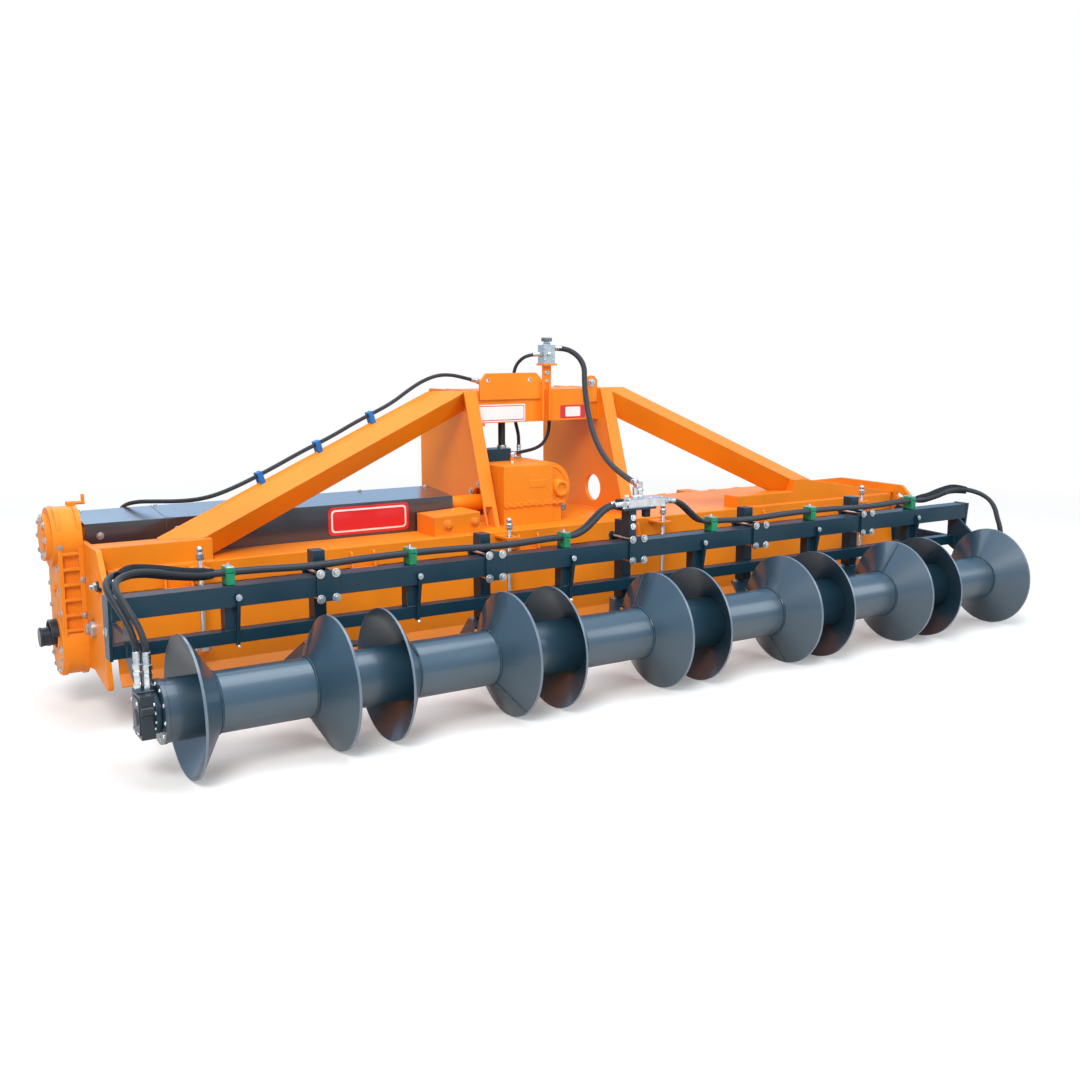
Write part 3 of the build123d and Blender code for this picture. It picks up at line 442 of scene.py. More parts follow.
def fitted(name, line, thick, body, finish, scale):
    """A hose crimped at both ends, in place of its CAD node."""
    tube = hose(name + "_rubber", line, thick, body)
    tube.data.materials.append(finish.material)
    ends = Piece(name + "_ends")
    crimped(ends, line, scale)
    crimped(ends, line[::-1], scale)
    ends = ends.done(body, zinc, "zinc")
    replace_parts(tube, name)
    behind(*line[0])


guarded = rubber("guarded_hose", 170, bare=0.87)
lengths = {"left_a": 2.683, "left_b": 2.654, "right_a": 2.565, "right_b": 2.535}
for side, turn in (("left", -1), ("right", 1)):
    for row, rest in (("a", row_a), ("b", row_b)):
        line = [(turn * x, rest[0][1], z) for x, z in tee_lines[side]]
        line += [(turn * x, ahead, z) for x, ahead, z in rest]
        length = lengths[f"{side}_{row}"]
        fitted(f"hose_beam_{side}_{row}", line, 0.023, "roller_frame", guarded, 1.0)

# Braided sleeves: a loose tube of black woven yarn holds each pair of hoses together where they leave the
# beam. It is drawn as a hose of uneven girth, with two families of strands that cross.
def meshed(curve):
    """A curve object's mesh."""
    graph = bpy.context.evaluated_depsgraph_get()
    return bpy.data.meshes.new_from_object(curve.evaluated_get(graph), depsgraph=graph)


braid = Finish("braided_sleeve", Specular_IOR_Level=0.3)
along, round_it = braid.wrap(0), braid.wrap(1)
strands = [(along * 210 + round_it * (75.4 * lean)).through("SINE") for lean in (-1, 1)]
weave = strands[0].through("MAXIMUM", strands[1])
fray = braid.cloud(45, 4)
braid.dress(
    braid.mix(braid.ease(weave + fray, 0.6, 1.6), tint(9, 10, 12), tint(44, 48, 55)),
    0.55 + fray * 0.25, braid.bump(weave * 0.5 + fray * 2.0, 0.009),
)
for side, turn in (("left", -1), ("right", 1)):
    line = [(turn * x, 0.327, z) for x, z in (
        (1.930, 0.641), (1.970, 0.642), (2.030, 0.648), (2.100, 0.662), (2.170, 0.676), (2.215, 0.680))]
    line += [(turn * 2.2500, 0.306, 0.680), (turn * 2.280, 0.275, 0.673)]
    drawn = hose(f"sleeve_line_{side}", line, 0.05, None)
    for point, girth in zip(drawn.data.splines[0].points, (0.72, 1.0, 0.94, 1.06, 0.98, 1.04, 0.98, 0.8)):
        point.radius = 0.025 * girth
    sleeve = shown(f"sleeve_{side}", meshed(drawn))
    bpy.data.objects.remove(drawn)
    sleeve.data.materials.clear()
    sleeve.data.materials.append(braid.material)
    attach(sleeve, "roller_frame")

# Tee hose: from the valve down to the tee, 28 mm thick with its guard. It crosses from the mast to the roller
# frame, so it is a plain mesh hung on neither body.
line = (
    (0.138, 1.199, 1.455), (0.181, 1.170, 1.455), (0.217, 1.137, 1.436), (0.240, 1.103, 1.401),
    (0.245, 1.074, 1.355), (0.230, 1.053, 1.301), (0.217, 1.027, 1.243), (0.203, 0.993, 1.183),
    (0.186, 0.948, 1.120), (0.165, 0.888, 1.055), (0.144, 0.817, 0.996), (0.123, 0.734, 0.945),
    (0.104, 0.644, 0.906), (0.087, 0.544, 0.877), (0.070, 0.453, 0.857), (0.052, 0.368, 0.842),
)
drawn = hose("hose_tee_line", line, 0.028, None)
tube = shown("hose_tee_rubber", meshed(drawn))
drawn.data.bevel_depth = 0
drawn.data.use_fill_caps = False
path = [tuple(vertex.co) for vertex in meshed(drawn).vertices]
bpy.data.objects.remove(drawn)
tube.data.materials.clear()
tube.data.materials.append(rubber("guarded_tee_hose", 88).material)
top_end = Piece("hose_tee_top_end")
crimped(top_end, line)
top_end = top_end.done("chassis", zinc, "zinc")
low_end = Piece("hose_tee_low_end")
crimped(low_end, line[::-1])
low_end = low_end.done("roller_frame", zinc, "zinc")
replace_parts(tube, "hose_tee")
behind(*line[1])
behind(*line[-2])
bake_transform(tube)
behind(*line[0])

# Mast hoses: plain 18 mm rubber hoses without a guard, from the valve along the strut to the side drive, and
# short ones to the oil block and the gearbox.
bare = rubber("bare_hose", 0)
for name, length, line in (
    ("hose_strut", 2.174, (
        (-0.330, 1.180, 1.297), (-0.392, 1.180, 1.312), (-0.468, 1.178, 1.329), (-0.550, 1.172, 1.329),
        (-0.635, 1.163, 1.303), (-0.715, 1.151, 1.262), (-0.790, 1.134, 1.218), (-0.870, 1.112, 1.182),
        (-1.020, 1.076, 1.127), (-1.160, 1.043, 1.065), (-1.310, 1.007, 1.011), (-1.460, 0.971, 0.949),
        (-1.600, 0.937, 0.896), (-1.720, 0.912, 0.858), (-1.800, 0.938, 0.838), (-1.870, 1.008, 0.828),
        (-1.930, 1.098, 0.822), (-1.985, 1.190, 0.815), (-2.025, 1.268, 0.795), (-2.045, 1.315, 0.745),
        (-2.050, 1.330, 0.680), (-2.050, 1.330, 0.642),
    )),
    ("hose_valve", 0.222, (
        (0.050, 1.205, 1.425), (0.008, 1.214, 1.423), (-0.028, 1.236, 1.407), (-0.050, 1.262, 1.372),
        (-0.056, 1.278, 1.328), (-0.056, 1.278, 1.288),
    )),
    ("hose_gearbox", 0.444, (
        (0.110, 1.200, 1.195), (0.110, 1.200, 1.132), (0.113, 1.200, 1.070), (0.104, 1.200, 1.012),
        (0.072, 1.200, 0.965), (0.022, 1.200, 0.943), (-0.035, 1.200, 0.934), (-0.088, 1.200, 0.927),
        (-0.128, 1.200, 0.927),
    )),
    ("hose_breather", 0.266, (
        (-0.080, 1.240, 1.195), (-0.080, 1.240, 1.132), (-0.066, 1.240, 1.072), (-0.051, 1.240, 1.018),
        (-0.050, 1.240, 0.972), (-0.050, 1.240, 0.932),
    )),
):
    fitted(name, line, 0.018, "chassis", bare, 0.78)

# Bed roller: a 219 mm tube with twelve cones rolled from 8 mm sheet, welded on at their small ends and
# painted slate. Each cone has one seam, and a painted highlight, a pale bluish line, runs along its cut
# rim. Closing flanges end the tube.
def around(x, centre, radius, degrees):
    """A point on a circle about an axis along X, counted from straight ahead and up."""
    swing = radians(degrees)
    return (x, centre.y + radius * cos(swing), centre.z + radius * sin(swing))


def paint(name, colour, rough, coat=0.3, peel=0.0002, sand=0.0, edge_highlight=0.35, corner=0.0035, shine=0.3):
    """Sprayed paint: slightly uneven, with a fine orange peel, and a painted highlight, paler paint, where an
    edge is sharp.
    """
    finish = Finish(name, Coat_Weight=coat, Coat_Roughness=0.16, Specular_IOR_Level=shine)
    patch = finish.cloud(1.7, 4)
    grain = finish.cloud(330, 2)
    grit = finish.cloud(85, 5)
    soft = finish.node("Bevel", {"samples": 4}, {"Radius": corner})
    flat = finish.node("NewGeometry", out="Normal")
    level = finish.node("VectorMath", {"operation": "DOT_PRODUCT"}, {0: soft, 1: flat}, out="Value")
    # sharp edges are painted paler: a painted highlight along each edge, broken up by noise
    highlight_mask = finish.ease(1.0 - level, 0.004, 0.1) * finish.ease(grit, 0.3, 0.6) * edge_highlight
    highlight_tone = [c * 0.7 + 0.26 for c in colour[:3]] + [1]
    tone = finish.mix(finish.ease(patch, 0.4, 0.68), colour, shaded(colour, 0.84))
    finish.tone = finish.mix(highlight_mask, tone, highlight_tone)
    finish.soft = soft
    finish.grain = grain
    finish.rough = rough + patch * 0.1
    finish.feed("Base Color", finish.tone)
    finish.feed("Roughness", finish.rough)
    finish.under = finish.bump(grit, sand, under=soft) if sand else soft
    finish.feed("Normal", finish.bump(grain, peel, under=finish.under))
    return finish


def coat(finish, *nodes):
    """Gives CAD nodes this finish."""
    for node in nodes:
        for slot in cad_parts[node].material_slots:
            slot.material = finish.material


slate = tint(16, 52, 68)
# the roller's sharp edges carry a faint painted highlight
rolled = paint("slate_roller", slate, 0.36, coat=0.6, edge_highlight=0.25, shine=1.0)
radius = rolled.reach(axle)
# a thin pale bluish line is painted along each cone's rim: a painted highlight on the cut edge
rim_highlight = rolled.ease(radius, 0.2500, 0.2512)
rings = rolled.node("TexNoise", {"noise_dimensions": "1D"}, {"W": radius * 160, "Detail": 3.0})
rolled.dress(
    rolled.mix(rim_highlight * 0.4, rolled.tone, tint(128, 142, 158)),
    rolled.rough + rings * 0.14 - 0.05,
    rolled.bump(rolled.grain * 0.5 + rings, 0.00035, under=rolled.under),
)
coat(rolled, "roller_tube", "roller_cones")

welds = Piece("roller_welds")
bead = (
    (0.108, -0.006), (0.1125, -0.0055), (0.1152, -0.002), (0.1148, 0.002), (0.112, 0.0055), (0.108, 0.006),
    (0.108, -0.006),
)
furrows = (-1.5, -0.75, 0, 0.75, 1.5)
# each cone's foot on the tube, and the way it widens from there
cone_feet = [(x - lean * 0.2022, lean) for x in furrows for lean in (1, -1)] + [(-2.0478, -1), (2.0478, 1)]
for x, lean in cone_feet:
    welds.turned(bead, facing((x, axle.y, axle.z), RIGHT), 64)
weld_paint = paint("slate_weld", slate, 0.42, sand=0.0011)
welds.done("bed_roller", weld_paint, "slate_paint")

seams = Piece("cone_seams")
for i, (x, lean) in enumerate(cone_feet):
    # each seam runs from the rim down to the tube, on the cone's outer face
    swing = 40 + 97 * i
    foot = Vector(around(x - 0.002 * lean, axle, 0.1105, swing))
    tip = Vector(around(x + 0.0925 * lean, axle, 0.2508, swing))
    run = tip - foot
    wave = [(0.0001, 0)]
    wave += [(0.0026 + 0.0004 * (k % 2), run.length * (k + 0.5) / 30) for k in range(30)]
    wave += [(0.0001, run.length)]
    seams.turned(wave, facing(foot, run), 8)
seams.done("bed_roller", weld_paint, "slate_paint")

screws = Piece("flange_screws")
cap = ((0.0082, 0), (0.0082, 0.0016), (0.0078, 0.0022), (0.0046, 0.0022), (0.0042, 0.0004), (0.0003, 0.0004))
for turn in (-1, 1):
    for k in range(10):
        screws.turned(cap, facing(around(turn * high.x, axle, 0.095, 36 * k + 9), (turn, 0, 0)), 16)
screws.done("bed_roller", zinc, "zinc")

# Roller motors: cast hydraulic motors bolted to the arms at both ends, painted dark, each with an end cover,
# a port plate under its two unions, and plated unions that the hoses screw onto.
def disc(radius, straight, top=None, height=None, hole=None):
    """The outline of a disc or a pin, or of a ring round a hole, with its upper edge cut back to the top."""
    inner = hole or 0.0003
    outline = [(inner, 0), (radius, 0), (radius, straight)]
    if top:
        outline.append((top, height))
    outline.append((inner, height or straight))
    return outline + outline[:1] if hole else outline


motor_paint = paint("motor_paint", tint(28, 42, 52), 0.34, coat=0.35, sand=0.0006)
coat(motor_paint, "roller_motors")
for side, turn in (("left", -1), ("right", 1)):
    covers = Piece(f"motor_cover_{side}")
    face = turn * 2.305
    plate = facing((face, axle.y + 0.006, axle.z - 0.003), (turn, 0, 0))
    covers.block((0.088, 0.128, 0.007), plate, corners=0.016)
    ports = facing((turn * 2.272, axle.y + 0.032, axle.z + 0.073), UP)
    covers.block((0.062, 0.072, 0.012), ports, soften=0.003)
    covers.turned(disc(0.030, 0.003, 0.027, 0.005),
                  facing((face + turn * 0.003, axle.y + 0.006, axle.z - 0.01), (turn, 0, 0)), 32)
    boss = facing((turn * 2.281, axle.y - 0.045, axle.z + 0.02), REAR)
    covers.block((0.05, 0.03, 0.016), boss, soften=0.004)
    covers.done("roller_frame", motor_paint, "slate_paint")
    unions = Piece(f"motor_unions_{side}")
    for x, ahead in ((2.285, 0.046), (2.259, 0.020)):
        spot = (turn * x, axle.y + ahead)
        unions.hexagon(0.030, 0.016, facing((*spot, 0.331), UP))
        unions.turned(((0.0118, 0.345), (0.0129, 0.345), (0.0129, 0.372), (0.0124, 0.374), (0.0124, 0.401),
                       (0.0118, 0.401), (0.0118, 0.345)), at(*spot, 0), 24)
        unions.hexagon(0.027, 0.013, facing((*spot, 0.376), UP))
    for y, z in ((-0.026, 0.046), (0.04, 0.046), (-0.026, -0.055), (0.04, -0.055)):
        unions.bolt((face + turn * 0.0034, axle.y + y, axle.z + z), (turn, 0, 0), 0.012, washer=False)
    for swing in (140, 166, 194, 220):
        unions.bolt(around(turn * 2.258, axle, 0.0635, swing), (turn, 0, 0), 0.011, washer=False)
    unions.done("roller_frame", nickel, "zinc")

# Roller frame: an 80 mm and a 50 mm square tube between end plates, with welded arms, painted slate. The
# posts are clamped to the upper tube by plates and zinc-plated bolts that pass over and under it.
# the frame's sharp edges carry a painted highlight
frame_paint = paint("slate_frame", slate, 0.34, coat=0.1, edge_highlight=0.4)
coat(frame_paint, "upper_beam", "lower_beam", "frame_arms", "frame_ends", "roller_arms", "scraper_posts")
coat(frame_paint, "scraper_plates", "clamp_plates", "beam_brackets", "tee_bracket", "oil_block")
low, high = corners("upper_beam")
beam_rear, beam_front, beam_top, beam_low = low.y, high.y, high.z, low.z
plate_low, plate_high = corners("clamp_plates")
bolts = Piece("clamp_bolts")
beds = (-1.875, -1.125, -0.375, 0.375, 1.125, 1.875)
shank = disc(0.006, plate_high.y - plate_low.y - 0.02)
for x in furrows:
    for shift in (-0.032, 0.032):
        for z in (beam_top + 0.0095, beam_low - 0.0095):
            bolts.bolt((x + shift, plate_low.y, z), REAR, 0.019)
            bolts.bolt((x + shift, plate_high.y, z), FRONT, 0.019, end=0.008)
            bolts.turned(shank, facing((x + shift, plate_low.y + 0.01, z), FRONT), 12)
for x in beds:
    bolts.bolt((x + 0.020, beam_rear - 0.0155, beam_low + 0.036), (0, -1, 0.1), 0.013)
    bolts.bolt((x + 0.020, beam_rear + 0.0065, 0.362), (0, -0.7, -1), 0.012, washer=False)
for turn in (-1, 1):
    bolts.bolt((turn * 2.32, beam_rear + 0.045, 0.47), (turn, 0, 0), 0.018)
bolts.done("roller_frame", zinc, "zinc")

plates = Piece("scraper_bolts")
for x in furrows:
    for shift in (-0.045, 0.045):
        plates.bolt((x + shift, beam_front + 0.03, 0.31), UP, 0.018)
        plates.bolt((x + shift, beam_front + 0.03, 0.30), DOWN, 0.018, end=0.006)
plates.done("roller_frame", zinc, "zinc")


def ripple(piece, start, end, size=0.003):
    """A straight weld bead with its ripples."""
    start, end = Vector(start), Vector(end)
    run = end - start
    count = max(6, int(run.length / 0.006))
    wave = [(0.0002, 0)]
    wave += [(size * (1.0 + 0.16 * (k % 2)), run.length * (k + 0.5) / count) for k in range(count)]
    wave += [(0.0002, run.length)]
    piece.turned(wave, facing(start, run), 8)


frame_welds = Piece("frame_welds")
upper_tube = (beam_low, beam_top, beam_rear, beam_front)
lower_tube = (0.370, 0.420, beam_rear + 0.02, beam_rear + 0.07)
for turn in (-1, 1):
    x = turn * 2.3075
    for low_z, high_z, y0, y1 in (upper_tube, lower_tube):
        ripple(frame_welds, (x, y0, low_z), (x, y0, high_z))
        ripple(frame_welds, (x, y0, high_z), (x, y1, high_z))
        ripple(frame_welds, (x, y0, low_z), (x, y1, low_z))
        ripple(frame_welds, (x, y1, low_z), (x, y1, high_z))
    for x in (turn * 2.2425, turn * 2.2585):
        ripple(frame_welds, (x, beam_rear - 0.004, beam_low), (x, beam_rear + 0.068, beam_low))
        ripple(frame_welds, (x, beam_rear + 0.02, 0.420), (x, beam_rear + 0.02, 0.370))
for x in furrows:
    ripple(frame_welds, (x - 0.025, beam_front + 0.001, 0.3115), (x + 0.025, beam_front + 0.001, 0.3115))
    ripple(frame_welds, (x - 0.025, beam_front + 0.059, 0.3115), (x + 0.025, beam_front + 0.059, 0.3115))
for x in beds:
    for z in (0.4215, beam_low - 0.0015):
        ripple(frame_welds, (x - 0.026, beam_rear + 0.019, z), (x + 0.014, beam_rear + 0.019, z), 0.0025)
frame_welds.done("roller_frame", weld_paint, "slate_paint")

# Hose clamps: green moulded twin clamps on the beam, each in two halves round both hoses, with a steel cap
# plate and one long bolt that holds it down.
def moulded(name, colour, rough=0.45):
    """Moulded plastic with a fine grain and faint flow marks."""
    finish = Finish(name, Specular_IOR_Level=0.45)
    flow = finish.cloud(14, 3)
    grain = finish.cloud(1400, 2)
    finish.dress(
        finish.mix(finish.ease(flow, 0.35, 0.7), colour, shaded(colour, 0.72)),
        rough + flow * 0.12, finish.bump(grain, 0.0003),
    )
    return finish


green = moulded("green_moulding", tint(14, 142, 96))
clamps = Piece("hose_clamp_halves")
clamp_x = (*beds[:3], 0.470, *beds[4:])
collar = disc(0.0145, 0.003, hole=0.0117)
for x in clamp_x:
    for low_z, tall in ((0.594, 0.0455), (0.6405, 0.0205)):
        spot = at(x, axle.y + 0.327, low_z + tall / 2)
        clamps.block((0.033, 0.064, tall), spot, soften=0.0035)
    for turn in (-1, 1):
        for ahead in (0.312, 0.342):
            clamps.turned(collar, facing((x + turn * 0.0155, axle.y + ahead, 0.640), (turn, 0, 0)), 20)
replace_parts(clamps.done("roller_frame", green, "green_plastic"), "hose_clamps")
coat(moulded("blue_moulding", tint(28, 112, 190)), "hose_clips")
black = moulded("black_moulding", tint(22, 23, 25), 0.5)
coat(black, "pto_guard", "oil_pipe")
caps = Piece("hose_clamp_caps")
for x in clamp_x:
    caps.block((0.030, 0.060, 0.003), at(x, axle.y + 0.327, 0.6625), soften=0.0008)
    caps.bolt((x, axle.y + 0.327, 0.664), UP, 0.013, end=0.003)
caps.done("roller_frame", zinc, "zinc")

# Tee on the frame: a nickel-plated block with the hose unions, a pressure plug and its holding screws, and
# with two black moulded plugs at its ends.
coat(nickel, "tee_block", "hose_fittings")
tee_y = axle.y + 0.328
tee = Piece("tee_unions")
for flats, tall, x, ahead, z in (
    (0.034, 0.014, 0.052, 0.014, 0.781), (0.030, 0.012, 0.052, 0.014, 0.812),
    (0.030, 0.014, 0.018, 0.004, 0.781), (0.026, 0.012, 0.018, 0.004, 0.858),
):
    tee.hexagon(flats, tall, facing((x, tee_y + ahead, z), UP))
tee.turned(disc(0.009, 0.006, 0.006, 0.009), facing((0.018, tee_y + 0.004, 0.869), UP), 20)
for x in (-0.032, 0.09, 0.152):
    tee.bolt((x, tee_y - 0.02, 0.781), UP, 0.012, washer=False)
for x in (-0.065, -0.055, 0.09):
    tee.bolt((x, tee_y - 0.025, 0.745), UP, 0.014)
for z in (0.66, 0.70):
    tee.bolt((-0.018, beam_rear + 0.007, z), REAR, 0.016)
tee.done("roller_frame", nickel, "zinc")
sensors = Piece("tee_plugs")
for x, z in ((-0.066, 0.765), (0.084, 0.716)):
    sensors.block((0.034, 0.03, 0.044), at(x - 0.008, tee_y - 0.004, z), soften=0.004)
sensors.done("roller_frame", black, "black_plastic")

# Tine rotor: hexagonal flanges welded to a tube, each with six forged blades on two bolts. The blades leave
# the works in dark primer, and their cutting ends are bare hardened steel.
low, high = corners("rotor_blades")
rotor = (low + high) / 2
blades = Finish("blade_steel")
radius = blades.reach(rotor)
scuff = blades.cloud(60, 4)
worn = blades.ease(radius + scuff * 0.03, 0.252, 0.272)
blades.feed("Base Color", blades.mix(worn, tint(52, 47, 46), tint(150, 147, 142)))
blades.feed("Metallic", worn)
blades.feed("Roughness", 0.5 - worn * 0.14 + scuff * 0.1)
blades.feed("Normal", blades.bump(blades.cloud(180, 4), 0.0006))
coat(blades, "rotor_blades")
primer = paint("rotor_primer", tint(58, 52, 50), 0.5, coat=0.1, sand=0.0006)
coat(primer, "rotor_shaft", "rotor_flanges")
bolts = Piece("blade_bolts")
flange_weld = (
    (0.069, -0.005), (0.074, -0.0045), (0.0765, 0), (0.0765, 0.0005), (0.069, 0.0005), (0.069, -0.005),
)
for i in range(18):
    x = -2.105 + i * 4.21 / 17
    for k in range(6):
        hand = {0: 1, 17: -1}.get(i, 1 if k % 2 else -1)
        for radius in (0.098, 0.13):
            swing = 60 * k + 17 * i + 90
            bolts.hexagon(0.022, 0.009, facing(around(x + hand * 0.018, rotor, radius, swing), (hand, 0, 0)))
            bolts.hexagon(0.022, 0.011, facing(around(x - hand * 0.006, rotor, radius, swing), (-hand, 0, 0)))
    bolts.turned(flange_weld, facing((x - 0.0065, rotor.y, rotor.z), RIGHT), 24)
bolts.done("rotor", plated("dull_plate", tint(120, 118, 112), 0.42), "blade_steel")

# Hood, girder, members and side plates: 8 to 20 mm steel, welded and sprayed gloss orange. The side plates
# carry the roller frame's pivots, and a slot in a welded rim lets each locking bolt move.
orange = tint(245, 137, 20)
# the sheet's sharp edges carry a strong painted highlight
sheet = paint("orange_sheet", orange, 0.38, coat=0.0, edge_highlight=0.55)
sway = sheet.cloud(2.2, 2)
sheet.feed("Normal", sheet.bump(sheet.grain, 0.00025, under=sheet.bump(sway, 0.004, under=sheet.soft)))
coat(sheet, "hood", "front_girder", "side_plates", "tailboard", "tailboard_hinges", "rod_guides")
coat(sheet, "mast_left", "mast_right", "crosshead", "top_link_bracket", "hitch_lugs", "lifting_hook")
coat(sheet, "stand_brackets", "stand_leg_left", "stand_leg_right", "valve_post", "cross_shaft_tube")
coat(zinc, "pivot_pins", "pto_shaft")
weld_orange = paint("orange_weld", orange, 0.4, coat=0.0, sand=0.0009)
low, high = corners("hood")
hood_rear, hood_top, plate_in = low.y, high.z, high.x
seams = Piece("hood_welds")
for x0, x1, ahead in (
    (-plate_in + 0.05, -1.8, 0.009), (1.04, plate_in - 0.05, 0.009), (-0.77, -0.535, 0.039),
):
    ripple(seams, (x0, hood_rear + ahead, hood_top + 0.001), (x1, hood_rear + ahead, hood_top + 0.001))
ripple(seams, (-0.535, hood_rear + 0.04, hood_top + 0.001), (-0.535, rotor.y - 0.076, hood_top + 0.001))
for turn in (-1, 1):
    x = turn * (plate_in - 0.0005)
    for k in range(7):
        y = hood_rear + 0.02 + 0.066 * k
        ripple(seams, (x, y, hood_top + 0.0005), (x, y + 0.045, hood_top + 0.0005), 0.004)
for k in range(24):
    x = -2.2 + 4.4 * k / 23
    y, z = hood_rear + 0.692, hood_top + 0.0003
    ripple(seams, (x - 0.03, y, z), (x + 0.03, y, z), 0.0025)
seams.done("chassis", weld_orange, "orange_paint")

low, high = corners("pivot_pins")
pivot = Vector((0, (low.y + high.y) / 2, (low.z + high.z) / 2))
rims = Piece("slot_rims")
for turn in (-1, 1):
    for radius in (0.2305, 0.2695):
        shape = bmesh.new()
        ring = [shape.verts.new(around(turn * face_x, pivot, radius + step, 113))
                for face_x, step in ((2.2645, -0.004), (2.2645, 0.004), (2.2705, 0.004), (2.2705, -0.004))]
        face = shape.faces.new(ring)
        turn_it = {"cent": pivot, "axis": RIGHT, "dvec": (0, 0, 0), "angle": radians(20), "steps": 12}
        bmesh.ops.spin(shape, geom=[face] + face.edges[:] + face.verts[:], **turn_it)
        rims.add(shape, Matrix())
rims.done("chassis", weld_orange, "orange_paint")

locks = Piece("lock_bolts")
for turn in (-1, 1):
    locks.bolt(around(turn * 2.279, pivot, 0.25, 128), (turn, 0, 0), 0.030, washer=False, end=0.012)
    locks.bolt(around(turn * 2.222, pivot, 0.25, 128), (-turn, 0, 0), 0.030)
locks.done("roller_frame", zinc, "zinc")
bolts = Piece("side_plate_bolts")
for turn in (-1, 1):
    bolts.bolt((turn * 2.279, pivot.y, pivot.z), (turn, 0, 0), 0.036)
    for y, z in ((0.22, 0.575), (0.34, 0.575), (0.36, 0.47)):
        bolts.bolt((turn * 2.265, rotor.y + y, z), (turn, 0, 0), 0.022)
for k in range(6):
    bolts.bolt(around(2.325, rotor, 0.06, 60 * k), RIGHT, 0.016)
bolts.done("chassis", zinc, "zinc")

# Tailboard: a 6 mm sheet with a folded lip on six hinges. Four zinc-plated rods with fine threads hang from
# their slotted guides by pairs of nuts, and are pinned between lugs on the board.
coat(plated("rod_thread", tint(214, 213, 208), 0.24, thread=0.0025), "tailboard_rods")
low, high = corners("tailboard_rods")
rod_y = (low.y + high.y) / 2
rod_x = (-1.88, -0.45, 0.45, 1.88)
nuts = Piece("rod_nuts")
dome = (
    (0.0003, 0), (0.012, 0), (0.0135, 0.003), (0.0135, 0.012), (0.011, 0.018), (0.006, 0.0215),
    (0.0003, 0.0225),
)
for x in rod_x:
    nuts.turned(dome, at(x, rod_y, high.z - 0.014), 20)
    nuts.hexagon(0.030, 0.014, at(x, rod_y, high.z - 0.046))
    nuts.hexagon(0.030, 0.010, at(x, rod_y, high.z - 0.0305))
    for turn in (-1, 1):
        nuts.bolt((x + turn * 0.022, rod_y, low.z + 0.014), (turn, 0, 0), 0.019, end=0.004)
nuts.done("tailboard", zinc, "zinc")
hinge_y, hinge_z = hood_rear - 0.014, hood_top - 0.104
pins = Piece("hinge_pins")
for x in (-1.95, -1.15, -0.3, 0.3, 1.15, 1.95):
    for turn in (-1, 1):
        spot = facing((x + turn * 0.0572, hinge_y, hinge_z), (turn, 0, 0))
        pins.turned(disc(0.0135, 0.0022), spot, 16)
        pins.turned(disc(0.0016, 0.026),
                    facing((x + turn * 0.0615, hinge_y, hinge_z - 0.013), (0, 0.1, 1)), 8)
pins.done("chassis", zinc, "zinc")
lips = Piece("tailboard_welds")
for x in rod_x:
    for lug_x in (x - 0.0235, x + 0.0235):
        lug_top = (lug_x, hinge_y - 0.0185, hinge_z - 0.205)
        ripple(lips, lug_top, (lug_x, hinge_y - 0.0245, hinge_z - 0.262), 0.0022)
lips.done("tailboard", weld_orange, "orange_paint")

# Mast: 20 mm side plates with welded rear flanges, a channel across their tops with a raised plate, ribs and
# an ear, and two plain stick-on plates, white and red-and-white, left blank.
low, high = corners("mast_left")
mast_top, foot_y = high.z, axle.y + 0.900
head_y = axle.y + 1.130
seams = Piece("mast_welds")
foot_z = hood_top + 0.001
for turn in (-1, 1):
    for x in (turn * 0.374, turn * 0.396):
        ripple(seams, (x, foot_y + 0.01, foot_z), (x, head_y + 0.2, foot_z), 0.004)
    x = turn * 0.3735
    ripple(seams, (x, head_y, 1.092), (x, head_y, mast_top - 0.002))
    ripple(seams, (x, head_y, 1.0895), (x, head_y + 0.28, 1.0895))
    x, z = turn * 0.376, mast_top + 0.0005
    ripple(seams, (x, head_y + 0.005, z), (x, head_y + 0.285, z))
    ripple(seams, (turn * 0.372, foot_y - 0.0125, foot_z), (turn * 0.395, foot_y - 0.0125, foot_z))
for x in (0.006, 0.018, 0.046, 0.058):
    ripple(seams, (x, head_y - 0.001, 1.098), (x, head_y - 0.001, mast_top - 0.05), 0.0022)
for x in (-0.0308, 0.0308, -0.0502, 0.0502):
    ripple(seams, (x, head_y + 0.3015, mast_top - 0.14), (x, head_y + 0.3015, mast_top - 0.01))
seams.done("chassis", weld_orange, "orange_paint")

def sticker(name, colour):
    """Printed foil under a clear film, with the faint unevenness of the paint below."""
    finish = Finish(name, Coat_Weight=0.5, Coat_Roughness=0.08)
    patch = finish.cloud(9, 3)
    finish.dress(
        finish.mix(finish.ease(patch, 0.3, 0.8), colour, shaded(colour, 0.93)),
        0.3 + patch * 0.08, finish.bump(patch, 0.0006),
    )
    return finish


red_foil, white_foil = sticker("red_foil", tint(214, 34, 38)), sticker("white_foil", tint(240, 240, 238))
# each plate as x, z, how proud it stands, and its two sides
for name, finish, plates in (
    ("plate_white", white_foil, (
        (-0.219, 1.138, 0.0007, 0.282, 0.086), (0.2115, 1.133, 0.0014, 0.092, 0.05),
        (-0.219, 1.138, 0.0021, 0.262, 0.066),
    )),
    ("plate_red", red_foil, ((0.2115, 1.133, 0.0007, 0.156, 0.068), (-0.219, 1.138, 0.0014, 0.270, 0.074))),
):
    foil = Piece(name)
    for x, z, proud, wide, tall in plates:
        spot = facing((x, head_y - proud / 2, z), REAR)
        foil.block((wide, tall, proud), spot, corners=0.008)
    foil.done("chassis", finish, "orange_paint")

